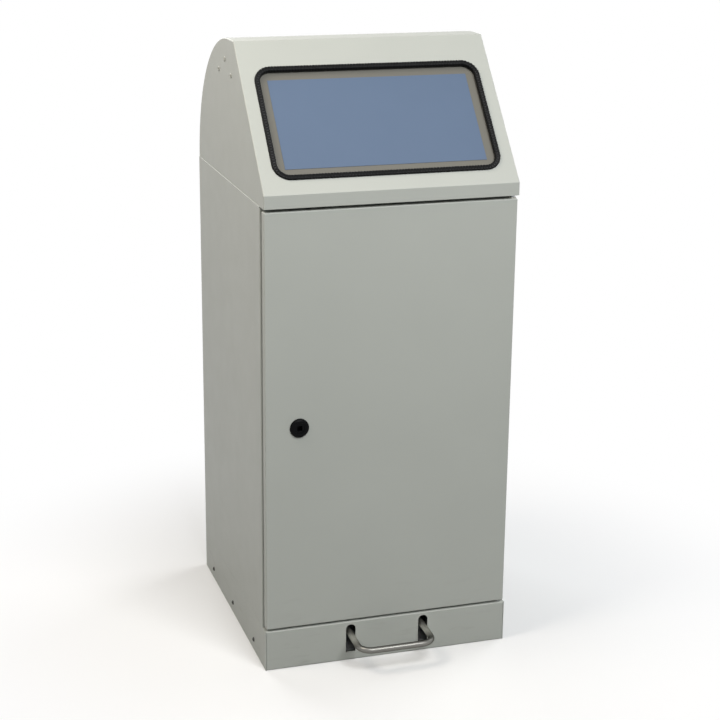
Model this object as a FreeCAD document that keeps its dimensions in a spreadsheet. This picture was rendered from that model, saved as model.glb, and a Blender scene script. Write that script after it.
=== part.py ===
import FreeCAD, Part
import math
import os
import re
from dataclasses import dataclass, field

import Sketcher
from FreeCAD import Placement, Rotation, Vector

# Pedal recycling bin in folded sheet steel, in millimetres.
# The origin is on the floor, in the middle of the footprint with the pedal in it.
# The front faces -Y and +Z is up.

SIZES = {
    # Overall
    "width": 400,
    "depth": 425,
    "plinth_height": 66.5,
    "cabinet_height": 673.5,
    "hood_height": 220,
    "sheet": 1.2,
    "bend": 0.8,
    "seam": 0.6,
    "play": 0.05,
    # Plinth
    "plinth_flange": 30,
    "slot_width": 16,
    "slot_height": 48,
    "slot_foot": 13.5,
    "plinth_screw_height": 18.5,
    "plinth_screw_start": 76,
    "plinth_screw_pitch": 142.5,
    "screw_shank": 4,
    "screw_head": 7.6,
    "screw_head_height": 2.2,
    # Cabinet
    "jamb": 20,
    "rim_round": 0.5,
    "tray_wall": 15,
    "rail_drop": 26,
    "rail_lip": 15,
    "rail_nose": 2,
    "frame_leg": 20,
    "hood_flange": 19,
    "hood_screw_reach": 8,
    # Door
    "door_depth": 16,
    "door_gap": 2.5,
    "door_inset": 2,
    "door_foot_gap": 3.5,
    "door_head_gap": 5.5,
    "door_lip": 14,
    "door_edge": 2,
    "stiffener_width": 60,
    "stiffener_crown": 30,
    "stiffener_height": 11,
    "stiffener_end_gap": 40,
    "buffer_diameter": 9,
    "buffer_clear": 0.3,
    "hinge_inset": 6,
    "hinge_pin": 5,
    "hinge_reach": 8,
    "hinge_shoulder": 1.3,
    "hinge_bush_wall": 1.5,
    "hinge_bush_flange": 1.2,
    # Lock
    "lock_inset": 55,
    "lock_rise": 330,
    "lock_head": 30,
    "lock_head_height": 4,
    "lock_barrel": 22,
    "lock_core": 16,
    "lock_nut": 29,
    "lock_nut_height": 5,
    "lock_socket": 8,
    "lock_socket_depth": 9,
    "tongue_length": 45,
    "tongue_width": 16,
    "tongue_thickness": 3,
    "tongue_clear": 1,
    # Hood
    "lip_height": 20,
    "top_flat": 30,
    "hood_inset": 0.8,
    "hood_nose": 3,
    "hood_edge": 1.6,
    "window_margin": 27.25,
    "window_foot": 30,
    "window_height": 184,
    "window_corner": 21,
    "trim_width": 8.5,
    "trim_bite": 6,
    "trim_proud": 3.5,
    "trim_round": 2.4,
    # Flap
    "flap_side_gap": 24,
    "flap_overlap": 5.5,
    "flap_gap": 0.4,
    "flap_sheet": 1,
    "flap_rim": 10,
    "flap_corner": 10,
    "cheek": 2,
    "cheek_boss": 13,
    "panel_border": 12.5,
    "panel_thickness": 0.6,
    "axle": 10,
    "axle_behind": 56,
    "axle_below": 48,
    "bracket": 2,
    "bracket_boss": 20,
    "bracket_boss_height": 4,
    "bush_wall": 2,
    "bush_flange": 1,
    "rivet_spread": 40,
    "rivet_rise": 14,
    "rivet_drop": 6,
    "rivet_head": 8,
    "rivet_shank": 4.8,
    "rivet_head_height": 1.8,
    "lever_length": 23.3,
    "lever_angle": 31,
    "lever_plate": 3,
    "lever_clear": 1,
    "lever_hub": 20,
    "lever_eye": 13,
    "lever_pin": 8,
    "spring_wire": 2,
    "spring_radius": 9,
    "spring_turns": 4,
    "spring_pitch": 2.6,
    "spring_leg": 30,
    "spring_peg": 4,
    # Pedal and push rod
    "arm_spacing": 121,
    "pedal_bar": 10,
    "pedal_reach": 57,
    "pedal_bar_height": 41,
    "pedal_bend": 20,
    "shaft": 12,
    "shaft_back": 120,
    "shaft_height": 50,
    "rail": 3,
    "rail_height": 56,
    "rail_foot": 18,
    "rail_margin": 16.5,
    "pedal_lever_plate": 6,
    "pedal_lever_hub": 22,
    "pedal_lever_nose": 10,
    "nose_angle": 9,
    "buffer_back": 60,
    "pedal_buffer": 15,
    "pedal_buffer_clear": 0.8,
    "rod": 8,
    "rod_wall": 11,
    "rod_cap": 14,
    "rod_cap_height": 14,
    "rod_cap_floor": 4,
    "rod_foot_clear": 0.5,
    "rod_head_clear": 0.6,
    "rod_hole": 11,
    "cap_hole": 20,
    "guide_plate": 2,
    "guide_length": 28,
    "guide_tab": 24,
    "guide_low": 230,
    "guide_high": 90,
    # Inner container
    "container_side_gap": 34,
    "container_front_gap": 24,
    "container_back_gap": 30,
    "container_headroom": 100,
    "container_sheet": 1,
    "container_corner": 25,
    "container_rim": 6,
    "grip_width": 100,
    "grip_height": 26,
    "grip_below": 45,
}

doc = FreeCAD.newDocument("pedal_bin")
sheet = doc.addObject("Spreadsheet::Sheet", "Sizes")
for row, (alias, size) in enumerate(SIZES.items(), start=1):
    sheet.set(f"A{row}", str(size))
    sheet.setAlias(f"A{row}", alias)
doc.recompute()


def formula(text):
    """Point every size named in a formula at its cell."""
    return re.sub(r"[a-z_]+", lambda word: f"Sizes.{word[0]}" if word[0] in SIZES else word[0], text)


def value(text):
    """Work a formula out as a number."""
    result = sheet.evalExpression(formula(text))
    return float(getattr(result, "Value", result))


# Planes and levels that several pieces share
HALF = "(width / 2)"
PEDAL_NOSE = "(pedal_reach + pedal_bar / 2)"
FRONT = f"(({PEDAL_NOSE} - depth) / 2)"
BACK = f"({FRONT} + depth)"
INNER_HALF = "(width / 2 - sheet)"
INNER_BACK = f"({BACK} - sheet)"
PLINTH_TOP = "plinth_height"
CABINET_TOP = "(plinth_height + cabinet_height)"
HOOD_TOP = "(plinth_height + cabinet_height + hood_height)"
CABINET_FRONT = f"({FRONT} + door_depth + door_gap)"
JAMB_BACK = f"({CABINET_FRONT} + sheet)"
DOOR_HALF = "(width / 2 - door_inset)"
DOOR_FOOT = "(plinth_height + door_foot_gap)"
DOOR_HEAD = f"({CABINET_TOP} - door_head_gap)"
HINGE_X = f"({DOOR_HALF} - hinge_inset)"
HINGE_Y = f"({FRONT} + door_depth / 2)"
LOCK_X = f"(lock_inset - {HALF})"
LOCK_Z = f"({DOOR_FOOT} + lock_rise)"
TONGUE_Y = "(door_depth + door_gap + sheet + tongue_clear)"

# The slope of the hood, and the flap axle behind its upper edge
HOOD_HALF = "(width / 2 - hood_inset)"
HOOD_FRONT = f"({FRONT} - hood_nose)"
HOOD_INNER_HALF = f"({HOOD_HALF} - sheet)"
SLOPE_FOOT = f"({CABINET_TOP} + lip_height)"
SLOPE_RUN = "(depth + hood_nose - hood_height - top_flat)"
SLOPE_RISE = "(hood_height - lip_height)"
SLOPE_LENGTH = f"sqrt({SLOPE_RUN}^2 + {SLOPE_RISE}^2)"
SLOPE_ANGLE = f"atan2({SLOPE_RISE}; {SLOPE_RUN})"
CREST_Y = f"({HOOD_FRONT} + {SLOPE_RUN})"
AXLE_Y = f"({CREST_Y} + axle_behind)"
AXLE_Z = f"({HOOD_TOP} - axle_below)"
WINDOW_HALF = "(width / 2 - window_margin)"
WINDOW_HEAD = "(window_foot + window_height)"
TRIM_LIP = "(trim_width - trim_bite)"
FLAP_HALF = f"({HOOD_INNER_HALF} - flap_side_gap)"
FLAP_FACE = "(sheet + trim_proud + flap_gap)"

# The linkage from the pedal shaft to the flap lever
SHAFT_Y = f"({FRONT} + shaft_back)"
ROD_X = f"(rod_wall - {INNER_HALF})"
ROD_Y = f"({AXLE_Y} + lever_length * (1 + cos(lever_angle)) / 2)"
PIN_Y = f"({AXLE_Y} + lever_length * cos(lever_angle))"
PIN_Z = f"({AXLE_Z} - lever_length * sin(lever_angle))"
NOSE_REACH = f"({ROD_Y} - {SHAFT_Y})"
NOSE_Y = f"({SHAFT_Y} + {NOSE_REACH} * cos(nose_angle))"
NOSE_Z = f"(shaft_height - {NOSE_REACH} * sin(nose_angle))"
ROD_FOOT = f"({NOSE_Z} + pedal_lever_nose / 2 + rod_foot_clear)"
ROD_HEAD = f"({PIN_Z} - lever_pin / 2 - rod_head_clear)"
ARM_LENGTH = "sqrt((shaft_back + pedal_reach)^2 + (shaft_height - pedal_bar_height)^2)"
ARM_ANGLE = "atan2(shaft_height - pedal_bar_height; shaft_back + pedal_reach)"
BUFFER_Y = f"({FRONT} + buffer_back)"


@dataclass
class Loop:
    """A closed outline; the segment after a corner named in arcs is a round one, drawn anticlockwise."""

    corners: list
    arcs: dict = field(default_factory=dict)

    def draw(self, sketch):
        """Add the outline to a sketch, each corner held by its two formulas."""
        spots = [Vector(value(u), value(v), 0) for u, v in self.corners]
        first = sketch.GeometryCount
        for number, spot in enumerate(spots):
            after = spots[(number + 1) % len(spots)]
            sketch.addGeometry(self.arc(number, spot, after) or Part.LineSegment(spot, after), False)
        rules = []
        formulas = []
        for number, ((u, v), spot) in enumerate(zip(self.corners, spots)):
            after = first + (number + 1) % len(spots)
            rules.append(Sketcher.Constraint("Coincident", first + number, 2, after, 1))
            held = [("DistanceX", 1, u, spot.x), ("DistanceY", 1, v, spot.y)]
            if number in self.arcs:
                centre = self.arcs[number][1]
                held.append(("DistanceY", 3, centre, value(centre)))
            for kind, point, text, number_now in held:
                formulas.append((sketch.ConstraintCount + len(rules), text))
                rules.append(Sketcher.Constraint(kind, -1, 1, first + number, point, number_now))
        sketch.addConstraint(rules)
        for place, text in formulas:
            sketch.setExpression(f"Constraints[{place}]", formula(text))

    def arc(self, number, start, end):
        """The round segment after a corner, or None where the segment is straight."""
        if number not in self.arcs:
            return None
        centre = Vector(value(self.arcs[number][0]), value(self.arcs[number][1]), 0)
        turns = [math.atan2(spot.y - centre.y, spot.x - centre.x) for spot in (start, end)]
        if turns[1] <= turns[0]:
            turns[1] += 2 * math.pi
        circle = Part.Circle(centre, Vector(0, 0, 1), (start - centre).Length)
        return Part.ArcOfCircle(circle, turns[0], turns[1])


@dataclass
class Circle:
    """A round outline."""

    u: str
    v: str
    radius: str

    def draw(self, sketch):
        """Add the circle to a sketch, its centre and radius held by formulas."""
        centre = Vector(value(self.u), value(self.v), 0)
        ring = sketch.addGeometry(Part.Circle(centre, Vector(0, 0, 1), value(self.radius)), False)
        held = [("DistanceX", self.u, centre.x), ("DistanceY", self.v, centre.y)]
        for kind, text, number_now in held:
            place = sketch.addConstraint(Sketcher.Constraint(kind, -1, 1, ring, 3, number_now))
            sketch.setExpression(f"Constraints[{place}]", formula(text))
        place = sketch.addConstraint(Sketcher.Constraint("Radius", ring, value(self.radius)))
        sketch.setExpression(f"Constraints[{place}]", formula(self.radius))


def rectangle(u_low, u_high, v_low, v_high):
    """A rectangle between two pairs of formulas."""
    return Loop([(u_low, v_low), (u_high, v_low), (u_high, v_high), (u_low, v_high)])


def rounded(u_low, u_high, v_low, v_high, radius):
    """A rectangle with round corners."""
    left, right = f"({u_low} + {radius})", f"({u_high} - {radius})"
    low, high = f"({v_low} + {radius})", f"({v_high} - {radius})"
    corners = [
        (left, v_low), (right, v_low), (u_high, low), (u_high, high),
        (right, v_high), (left, v_high), (u_low, high), (u_low, low),
    ]
    return Loop(corners, {1: (right, low), 3: (right, high), 5: (left, high), 7: (left, low)})


def upright_slot(u, v_low, v_high, slot):
    """A slot with round ends, standing along v."""
    low, high = f"({v_low} + {slot} / 2)", f"({v_high} - {slot} / 2)"
    left, right = f"({u} - {slot} / 2)", f"({u} + {slot} / 2)"
    return Loop([(right, low), (right, high), (left, high), (left, low)], {1: (u, high), 3: (u, low)})


def arched_slot(u, v_low, v_high, slot):
    """A slot with a round head and a square foot, standing along v."""
    shoulder = f"({v_high} - {slot} / 2)"
    left, right = f"({u} - {slot} / 2)", f"({u} + {slot} / 2)"
    return Loop([(right, v_low), (right, shoulder), (left, shoulder), (left, v_low)], {1: (u, shoulder)})


def u_strip(half, front, back, strip):
    """A U seen from above, open to the front, whose three strips are equally wide."""
    return Loop([
        (f"-{half}", front), (f"-({half} - {strip})", front), (f"-({half} - {strip})", f"{back} - {strip}"),
        (f"{half} - {strip}", f"{back} - {strip}"), (f"{half} - {strip}", front), (half, front),
        (half, back), (f"-{half}", back),
    ])


def new_body(label):
    """Start a piece."""
    body = doc.addObject("PartDesign::Body", label)
    body.Label = label
    return body


def new_sketch(body, plane, level, loops):
    """Draw outlines on one of the body's own planes, lifted by a formula along the plane's normal."""
    sketch = body.newObject("Sketcher::SketchObject", "Sketch")
    origin_plane = next(item for item in body.Origin.OriginFeatures if item.Role == plane + "_Plane")
    sketch.AttachmentSupport = (origin_plane, [""])
    sketch.MapMode = "FlatFace"
    sketch.setExpression("AttachmentOffset.Base.z", formula(level))
    for loop in loops:
        loop.draw(sketch)
    return sketch


def pad(body, plane, low, high, *loops):
    """Raise outlines from one level to another; the XZ plane's normal points to the front."""
    start = f"-({high})" if plane == "XZ" else low
    feature = body.newObject("PartDesign::Pad", "Pad")
    feature.Profile = new_sketch(body, plane, start, loops)
    feature.setExpression("Length", formula(f"({high}) - ({low})"))
    body.Tip = feature
    doc.recompute()
    return feature


def pocket(body, plane, low, high, *loops):
    """Cut outlines out from one level to another, and make sure that something was cut."""
    before = body.Shape.Volume
    start = f"-({low})" if plane == "XZ" else high
    feature = body.newObject("PartDesign::Pocket", "Pocket")
    feature.Profile = new_sketch(body, plane, start, loops)
    feature.setExpression("Length", formula(f"({high}) - ({low})"))
    body.Tip = feature
    doc.recompute()
    if body.Shape.Volume >= before:
        raise RuntimeError(f"a cut in {body.Label} removes nothing")
    return feature


AXES = {"XY": Vector(0, 0, 1), "XZ": Vector(0, 1, 0), "YZ": Vector(1, 0, 0)}


def flat_place(plane, point):
    """The two coordinates of a point as a plane's sketches measure them."""
    return {"XY": (point.x, point.y), "XZ": (point.x, point.z), "YZ": (point.y, point.z)}[plane]


def edges_at(shape, plane, corners):
    """The straight edges square to a plane that pass through corners given by formulas."""
    names = []
    spots = [(value(u), value(v)) for u, v in corners]
    for number, edge in enumerate(shape.Edges, start=1):
        if edge.Curve.TypeId != "Part::GeomLine":
            continue
        run = edge.Vertexes[-1].Point - edge.Vertexes[0].Point
        if run.cross(AXES[plane]).Length > 1e-6 * run.Length:
            continue
        u, v = flat_place(plane, edge.CenterOfMass)
        if any(math.hypot(u - spot[0], v - spot[1]) < 1e-3 for spot in spots):
            names.append(f"Edge{number}")
    return names


def fillet(body, radius, edges):
    """Round named edges of the body's last feature."""
    rounded_piece = body.Tip
    feature = body.newObject("PartDesign::Fillet", "Fillet")
    feature.Base = (rounded_piece, edges)
    feature.setExpression("Radius", formula(radius))
    body.Tip = feature
    doc.recompute()
    if not edges or not feature.isValid():
        raise RuntimeError(f"a rounding of {body.Label} fails")
    return feature


def fold(body, plane, outer, inner):
    """Give the folds of a bent sheet their outer and inner radius."""
    fillet(body, "bend + sheet", edges_at(body.Tip.Shape, plane, outer))
    fillet(body, "bend", edges_at(body.Tip.Shape, plane, inner))


TURNS = {
    "+X": Rotation(Vector(0, 0, 1), -90),
    "-X": Rotation(Vector(0, 0, 1), 90),
    "+Y": Rotation(),
    "+Z": Rotation(Vector(1, 0, 0), 90),
    "-Z": Rotation(Vector(1, 0, 0), -90),
}


def turned(label, place, heading, corners):
    """A lathe piece: corners are radius and distance along an axis that starts at place."""
    body = new_body(label)
    body.Placement = Placement(Vector(), TURNS[heading])
    for letter, text in zip("xyz", place):
        body.setExpression(f"Placement.Base.{letter}", formula(text))
    feature = body.newObject("PartDesign::Revolution", "Revolution")
    feature.Profile = new_sketch(body, "XY", "0", [Loop(corners)])
    axis = next(item for item in body.Origin.OriginFeatures if item.Role == "Y_Axis")
    feature.ReferenceAxis = (axis, [""])
    feature.Angle = 360
    body.Tip = feature
    return body


def on_slope(label):
    """Start a piece whose x, y and z run across, up and out of the sloping face of the hood."""
    body = new_body(label)
    body.Placement = Placement(Vector(), Rotation(Vector(1, 0, 0), 45))
    body.setExpression("Placement.Base.y", formula(HOOD_FRONT))
    body.setExpression("Placement.Base.z", formula(SLOPE_FOOT))
    body.setExpression("Placement.Rotation.Angle", formula(SLOPE_ANGLE))
    return body


def slope_place(y_text, z_text):
    """A place given in the part's frame, as distances up and out of the slope."""
    behind = f"(({y_text}) - {HOOD_FRONT})"
    above = f"(({z_text}) - {SLOPE_FOOT})"
    up = f"({behind} * {SLOPE_RUN} / {SLOPE_LENGTH} + {above} * {SLOPE_RISE} / {SLOPE_LENGTH})"
    out = f"({above} * {SLOPE_RUN} / {SLOPE_LENGTH} - {behind} * {SLOPE_RISE} / {SLOPE_LENGTH})"
    return up, out


def grouped(label, pieces):
    """Identical pieces that share one name."""
    group = doc.addObject("Part::Compound", label)
    group.Label = label
    group.Links = pieces
    return group


def pin_profile(radius, low, high):
    """A plain round pin."""
    return [("0", low), (radius, low), (radius, high), ("0", high)]


def screw_profile(head, head_height, shank, length):
    """A button screw whose head stands before the start and whose shank runs along the axis."""
    return [
        ("0", f"-{head_height}"), (f"{head} / 3", f"-{head_height}"), (f"{head} / 2", f"-{head_height} / 3"),
        (f"{head} / 2", "0"), (f"{shank} / 2", "0"), (f"{shank} / 2", length), ("0", length),
    ]


def rivet_profile(grip):
    """A blind rivet: a low dome outside and a plain closing head behind the sheets it grips."""
    closing = "0.4 * rivet_head"
    return [
        ("0", "-rivet_head_height"), ("rivet_head / 4", "-rivet_head_height"),
        ("rivet_head / 2", "-rivet_head_height / 4"), ("rivet_head / 2", "0"),
        ("rivet_shank / 2", "0"), ("rivet_shank / 2", grip), (closing, grip),
        (closing, f"{grip} + rivet_head_height"), ("0", f"{grip} + rivet_head_height"),
    ]


def bush_profile(bore, wall, flange, length, flange_side):
    """A flanged plain bearing: the flange lies before the start of its sleeve."""
    inner = f"({bore} / 2 + play)"
    outer = f"({bore} / 2 + {wall})"
    return [
        (inner, f"-{flange}"), (f"{outer} + {flange_side}", f"-{flange}"), (f"{outer} + {flange_side}", "0"),
        (outer, "0"), (outer, length), (inner, length),
    ]


def plinth():
    """The plinth: a U of sides and rear, a front plate with two slots, and their screws."""
    frame = new_body("plinth_frame")
    pad(frame, "XY", "0", PLINTH_TOP, u_strip(HALF, FRONT, BACK, "sheet"))
    flange_front = f"({FRONT} + plinth_flange + seam)"
    for low, high in (("0", "sheet"), (f"{PLINTH_TOP} - sheet", PLINTH_TOP)):
        pad(frame, "XY", low, high, u_strip(INNER_HALF, flange_front, INNER_BACK, "plinth_flange"))
    pocket(frame, "XY", f"{PLINTH_TOP} - 2 * sheet", PLINTH_TOP, Circle(ROD_X, ROD_Y, "cap_hole / 2"))
    pocket(frame, "YZ", f"-{HALF}", HALF, *screw_holes())
    outer = [(f"-{HALF}", BACK), (HALF, BACK)]
    fillet(frame, "bend + sheet", edges_at(frame.Tip.Shape, "XY", outer))

    front = new_body("plinth_front")
    plate_half = f"({INNER_HALF} - seam)"
    flange_back = f"({FRONT} + plinth_flange)"
    outer = [(FRONT, "0"), (FRONT, PLINTH_TOP)]
    inner = [(f"{FRONT} + sheet", f"{PLINTH_TOP} - sheet"), (f"{FRONT} + sheet", "sheet")]
    section = Loop([
        (flange_back, "0"), outer[0], outer[1], (flange_back, PLINTH_TOP),
        (flange_back, f"{PLINTH_TOP} - sheet"), inner[0], inner[1], (flange_back, "sheet"),
    ])
    pad(front, "YZ", f"-{plate_half}", plate_half, section)
    fold(front, "YZ", outer, inner)
    slots = [arched_slot(f"{side} * arm_spacing / 2", "slot_foot", "slot_foot + slot_height", "slot_width")
             for side in (-1, 1)]
    pocket(front, "XZ", FRONT, f"{FRONT} + sheet", *slots)
    pin_hole = Circle(HINGE_X, HINGE_Y, "hinge_pin / 2 + play")
    pocket(front, "XY", f"{PLINTH_TOP} - sheet", PLINTH_TOP, pin_hole)

    screws = []
    for side, heading in ((-1, "+X"), (1, "-X")):
        for number in range(3):
            place = (f"{side} * {HALF}", screw_y(number), "plinth_screw_height")
            profile = screw_profile("screw_head", "screw_head_height", "screw_shank", "sheet + rail + 2")
            screws.append(turned(f"plinth_screw_{len(screws)}", place, heading, profile))
    return [frame, front, grouped("plinth_screws", screws)]


def screw_y(number):
    """Where a side screw stands, counted from the front."""
    return f"({FRONT} + plinth_screw_start + {number} * plinth_screw_pitch)"


def screw_holes():
    """Clearance holes for the side screws."""
    return [Circle(screw_y(number), "plinth_screw_height", "screw_shank / 2 + play") for number in range(3)]


def rim_edges(shape, level):
    """The outer edges of the cabinet at one height: its straight sides and rear with the folds between them."""
    height, half, back = value(level), value(HALF), value(BACK)
    names = []
    for number, edge in enumerate(shape.Edges, start=1):
        box = edge.BoundBox
        if max(abs(box.ZMin - height), abs(box.ZMax - height)) > 1e-3:
            continue
        beside = min(abs(box.XMin + half), abs(box.XMax - half)) < 1e-3
        behind = abs(box.YMax - back) < 1e-3
        if beside and (behind or box.XLength < 1e-3) or behind and box.YLength < 1e-3:
            names.append(f"Edge{number}")
    return names


def cabinet():
    """The cabinet: folded shell, tray floor, head rail over the door and frame under the hood."""
    shell = new_body("cabinet_shell")
    left_in, right_in = f"-({HALF} - jamb)", f"({HALF} - jamb)"
    outer = [(f"-{HALF}", CABINET_FRONT), (f"-{HALF}", BACK), (HALF, BACK), (HALF, CABINET_FRONT)]
    inner = [(f"-{INNER_HALF}", JAMB_BACK), (f"-{INNER_HALF}", INNER_BACK),
             (INNER_HALF, INNER_BACK), (INNER_HALF, JAMB_BACK)]
    section = Loop([
        (left_in, CABINET_FRONT), *outer, (right_in, CABINET_FRONT),
        (right_in, JAMB_BACK), *reversed(inner), (left_in, JAMB_BACK),
    ])
    pad(shell, "XY", PLINTH_TOP, CABINET_TOP, section)
    fold(shell, "XY", outer, inner)
    relief = rectangle(f"-{HALF}", HALF, CABINET_FRONT, f"{JAMB_BACK} + bend")
    pocket(shell, "XY", f"{CABINET_TOP} - sheet - bend", CABINET_TOP, relief)
    fillet(shell, "rim_round", rim_edges(shell.Tip.Shape, CABINET_TOP) + rim_edges(shell.Tip.Shape, PLINTH_TOP))

    floor = new_body("cabinet_floor")
    tray_half = f"({INNER_HALF} - seam)"
    tray_front = f"({JAMB_BACK} + seam)"
    tray_back = f"({INNER_BACK} - seam)"
    tray_top = "(plinth_height + tray_wall)"
    pad(floor, "XY", PLINTH_TOP, tray_top, rectangle(f"-{tray_half}", tray_half, tray_front, tray_back))
    corners = [(f"{side} * {tray_half}", end) for side in (-1, 1) for end in (tray_front, tray_back)]
    fillet(floor, "bend + sheet", edges_at(floor.Tip.Shape, "XY", corners))
    inside = rectangle(f"-({tray_half} - sheet)", f"{tray_half} - sheet",
                       f"{tray_front} + sheet", f"{tray_back} - sheet")
    pocket(floor, "XY", f"{PLINTH_TOP} + sheet", tray_top, inside)
    pocket(floor, "XY", PLINTH_TOP, f"{PLINTH_TOP} + sheet", Circle(ROD_X, ROD_Y, "cap_hole / 2"))

    rail = new_body("head_rail")
    web_back = f"({JAMB_BACK} + sheet)"
    rail_foot = f"({CABINET_TOP} - rail_drop)"
    nose = f"({FRONT} + rail_nose)"
    outer = [(web_back, CABINET_TOP), (JAMB_BACK, rail_foot)]
    inner = [(web_back, f"{rail_foot} + sheet"), (JAMB_BACK, f"{CABINET_TOP} - sheet")]
    section = Loop([
        (nose, CABINET_TOP), outer[0], inner[0], (f"{web_back} + rail_lip", f"{rail_foot} + sheet"),
        (f"{web_back} + rail_lip", rail_foot), outer[1], inner[1], (nose, f"{CABINET_TOP} - sheet"),
    ])
    rail_half = f"({INNER_HALF} - bend)"
    pad(rail, "YZ", f"-{rail_half}", rail_half, section)
    fold(rail, "YZ", outer, inner)
    pin_hole = Circle(HINGE_X, HINGE_Y, "hinge_pin / 2 + play")
    pocket(rail, "XY", f"{CABINET_TOP} - sheet", CABINET_TOP, pin_hole)

    frame = new_body("top_frame")
    frame_front = f"({web_back} + seam)"
    pad(frame, "XY", f"{CABINET_TOP} - frame_leg", CABINET_TOP,
        u_strip(INNER_HALF, frame_front, INNER_BACK, "sheet"))
    pad(frame, "XY", f"{CABINET_TOP} - sheet", CABINET_TOP,
        u_strip(INNER_HALF, frame_front, INNER_BACK, "hood_flange"))
    holes = [Circle(ROD_X, ROD_Y, "rod_hole / 2"), *hood_screw_holes()]
    pocket(frame, "XY", f"{CABINET_TOP} - sheet", CABINET_TOP, *holes)
    corners = [(f"{side} * {INNER_HALF}", INNER_BACK) for side in (-1, 1)]
    fillet(frame, "bend", edges_at(frame.Tip.Shape, "XY", corners))
    return [shell, floor, rail, frame]


def hood_screw_places():
    """Where the hood is screwed to its frame: two on each side and two at the rear."""
    side = f"({INNER_HALF} - hood_flange / 2)"
    rear = f"({INNER_BACK} - hood_flange / 2)"
    ahead, behind = f"({FRONT} + depth / 4)", f"({BACK} - depth / 4)"
    return [(f"{hand} * {side}", y) for hand in (-1, 1) for y in (ahead, behind)] + [
        (f"{hand} * width / 4", rear) for hand in (-1, 1)]


def hood_screw_holes():
    """Clearance holes for the hood screws."""
    return [Circle(x, y, "screw_shank / 2 + play") for x, y in hood_screw_places()]


def hood():
    """The welded hood, the rubber profile round its mouth and the screws that hold it down."""
    shell = new_body("hood_blank")
    round_y = f"({BACK} - hood_height)"
    outside = Loop([
        (HOOD_FRONT, CABINET_TOP), (BACK, CABINET_TOP), (round_y, HOOD_TOP),
        (CREST_Y, HOOD_TOP), (HOOD_FRONT, SLOPE_FOOT),
    ], {1: (round_y, CABINET_TOP)})
    pad(shell, "YZ", f"-{HOOD_HALF}", HOOD_HALF, outside)
    foot = value(CABINET_TOP)
    rim = [f"Edge{number}" for number, edge in enumerate(shell.Tip.Shape.Edges, start=1)
           if edge.BoundBox.ZMax > foot + 1 and edge.BoundBox.XLength < 1]
    folds = edges_at(shell.Tip.Shape, "YZ", [(HOOD_FRONT, SLOPE_FOOT), (CREST_Y, HOOD_TOP)])
    fillet(shell, "hood_edge", rim + folds)
    slack = f"sheet * ({SLOPE_LENGTH} - {SLOPE_RISE}) / {SLOPE_RUN}"
    crest_slack = f"sheet * ({SLOPE_LENGTH} - {SLOPE_RUN}) / {SLOPE_RISE}"
    inside = Loop([
        (f"{HOOD_FRONT} + sheet", CABINET_TOP), (INNER_BACK, CABINET_TOP), (round_y, f"{HOOD_TOP} - sheet"),
        (f"{CREST_Y} + {crest_slack}", f"{HOOD_TOP} - sheet"),
        (f"{HOOD_FRONT} + sheet", f"{SLOPE_FOOT} - {slack}"),
    ], {1: (round_y, CABINET_TOP)})
    pocket(shell, "YZ", f"-{HOOD_INNER_HALF}", HOOD_INNER_HALF, inside)
    wall = f"{HOOD_HALF} - sheet / 2"
    flange = [
        rectangle(f"-({wall})", wall, f"{HOOD_FRONT} + sheet / 2", INNER_BACK),
        rectangle(f"-({INNER_HALF} - hood_flange)", f"{INNER_HALF} - hood_flange",
                  f"{JAMB_BACK} + sheet", f"{INNER_BACK} - hood_flange"),
    ]
    pad(shell, "XY", CABINET_TOP, f"{CABINET_TOP} + sheet", *flange)
    holes = [Circle(ROD_X, ROD_Y, "rod_hole / 2"), *hood_screw_holes()]
    pocket(shell, "XY", CABINET_TOP, f"{CABINET_TOP} + sheet", *holes)
    rivets = [Circle(y, z, "rivet_shank / 2 + play") for y, z in rivet_places()]
    pocket(shell, "YZ", f"-{HOOD_HALF}", HOOD_HALF, *rivets)

    opening = on_slope("mouth_tool")
    cut_depth = "5 * sheet"
    mouth = rounded(f"-{WINDOW_HALF}", WINDOW_HALF, "window_foot", WINDOW_HEAD, "window_corner")
    pad(opening, "XY", f"-{cut_depth}", cut_depth, mouth)
    cover = doc.addObject("Part::Cut", "hood_shell")
    cover.Label = "hood_shell"
    cover.Base = shell
    cover.Tool = opening

    screws = []
    for x, y in hood_screw_places():
        profile = screw_profile("screw_head", "screw_head_height", "screw_shank", "hood_screw_reach")
        screws.append(turned(f"hood_screw_{len(screws)}", (x, y, f"{CABINET_TOP} - sheet"), "+Z", profile))
    return [cover, edge_trim(), grouped("hood_screws", screws)]


def edge_trim():
    """The rubber profile that grips the edge of the mouth: two soft lips joined by a bridge."""
    trim = on_slope("window_trim")

    def ring(grow):
        return rounded(f"-({WINDOW_HALF} + {grow})", f"{WINDOW_HALF} + {grow}",
                       f"window_foot - {grow}", f"{WINDOW_HEAD} + {grow}", f"(window_corner + {grow})")

    hollow = ring(f"(0 - {TRIM_LIP})")
    pad(trim, "XY", "-sheet - play", "play", ring("(0 - play)"), hollow)
    pad(trim, "XY", "play", "trim_proud", ring("trim_bite"), hollow)
    pad(trim, "XY", "-sheet - trim_proud", "-sheet - play", ring("trim_bite"), hollow)
    highest, lowest = value("trim_proud"), value("-sheet - trim_proud")
    edges = []
    for number, edge in enumerate(trim.Tip.Shape.Edges, start=1):
        if edge.BoundBox.ZMin > highest - 1e-3 or edge.BoundBox.ZMax < lowest + 1e-3:
            edges.append(f"Edge{number}")
    fillet(trim, "trim_round", edges)
    return trim


def rivet_places():
    """The three rivets round the flap axle on each side of the hood."""
    offsets = [("-rivet_spread", "-rivet_drop"), ("0", "rivet_rise"), ("rivet_spread", "-rivet_drop")]
    return [(f"({AXLE_Y} + {y})", f"({AXLE_Z} + {z})") for y, z in offsets]


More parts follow.
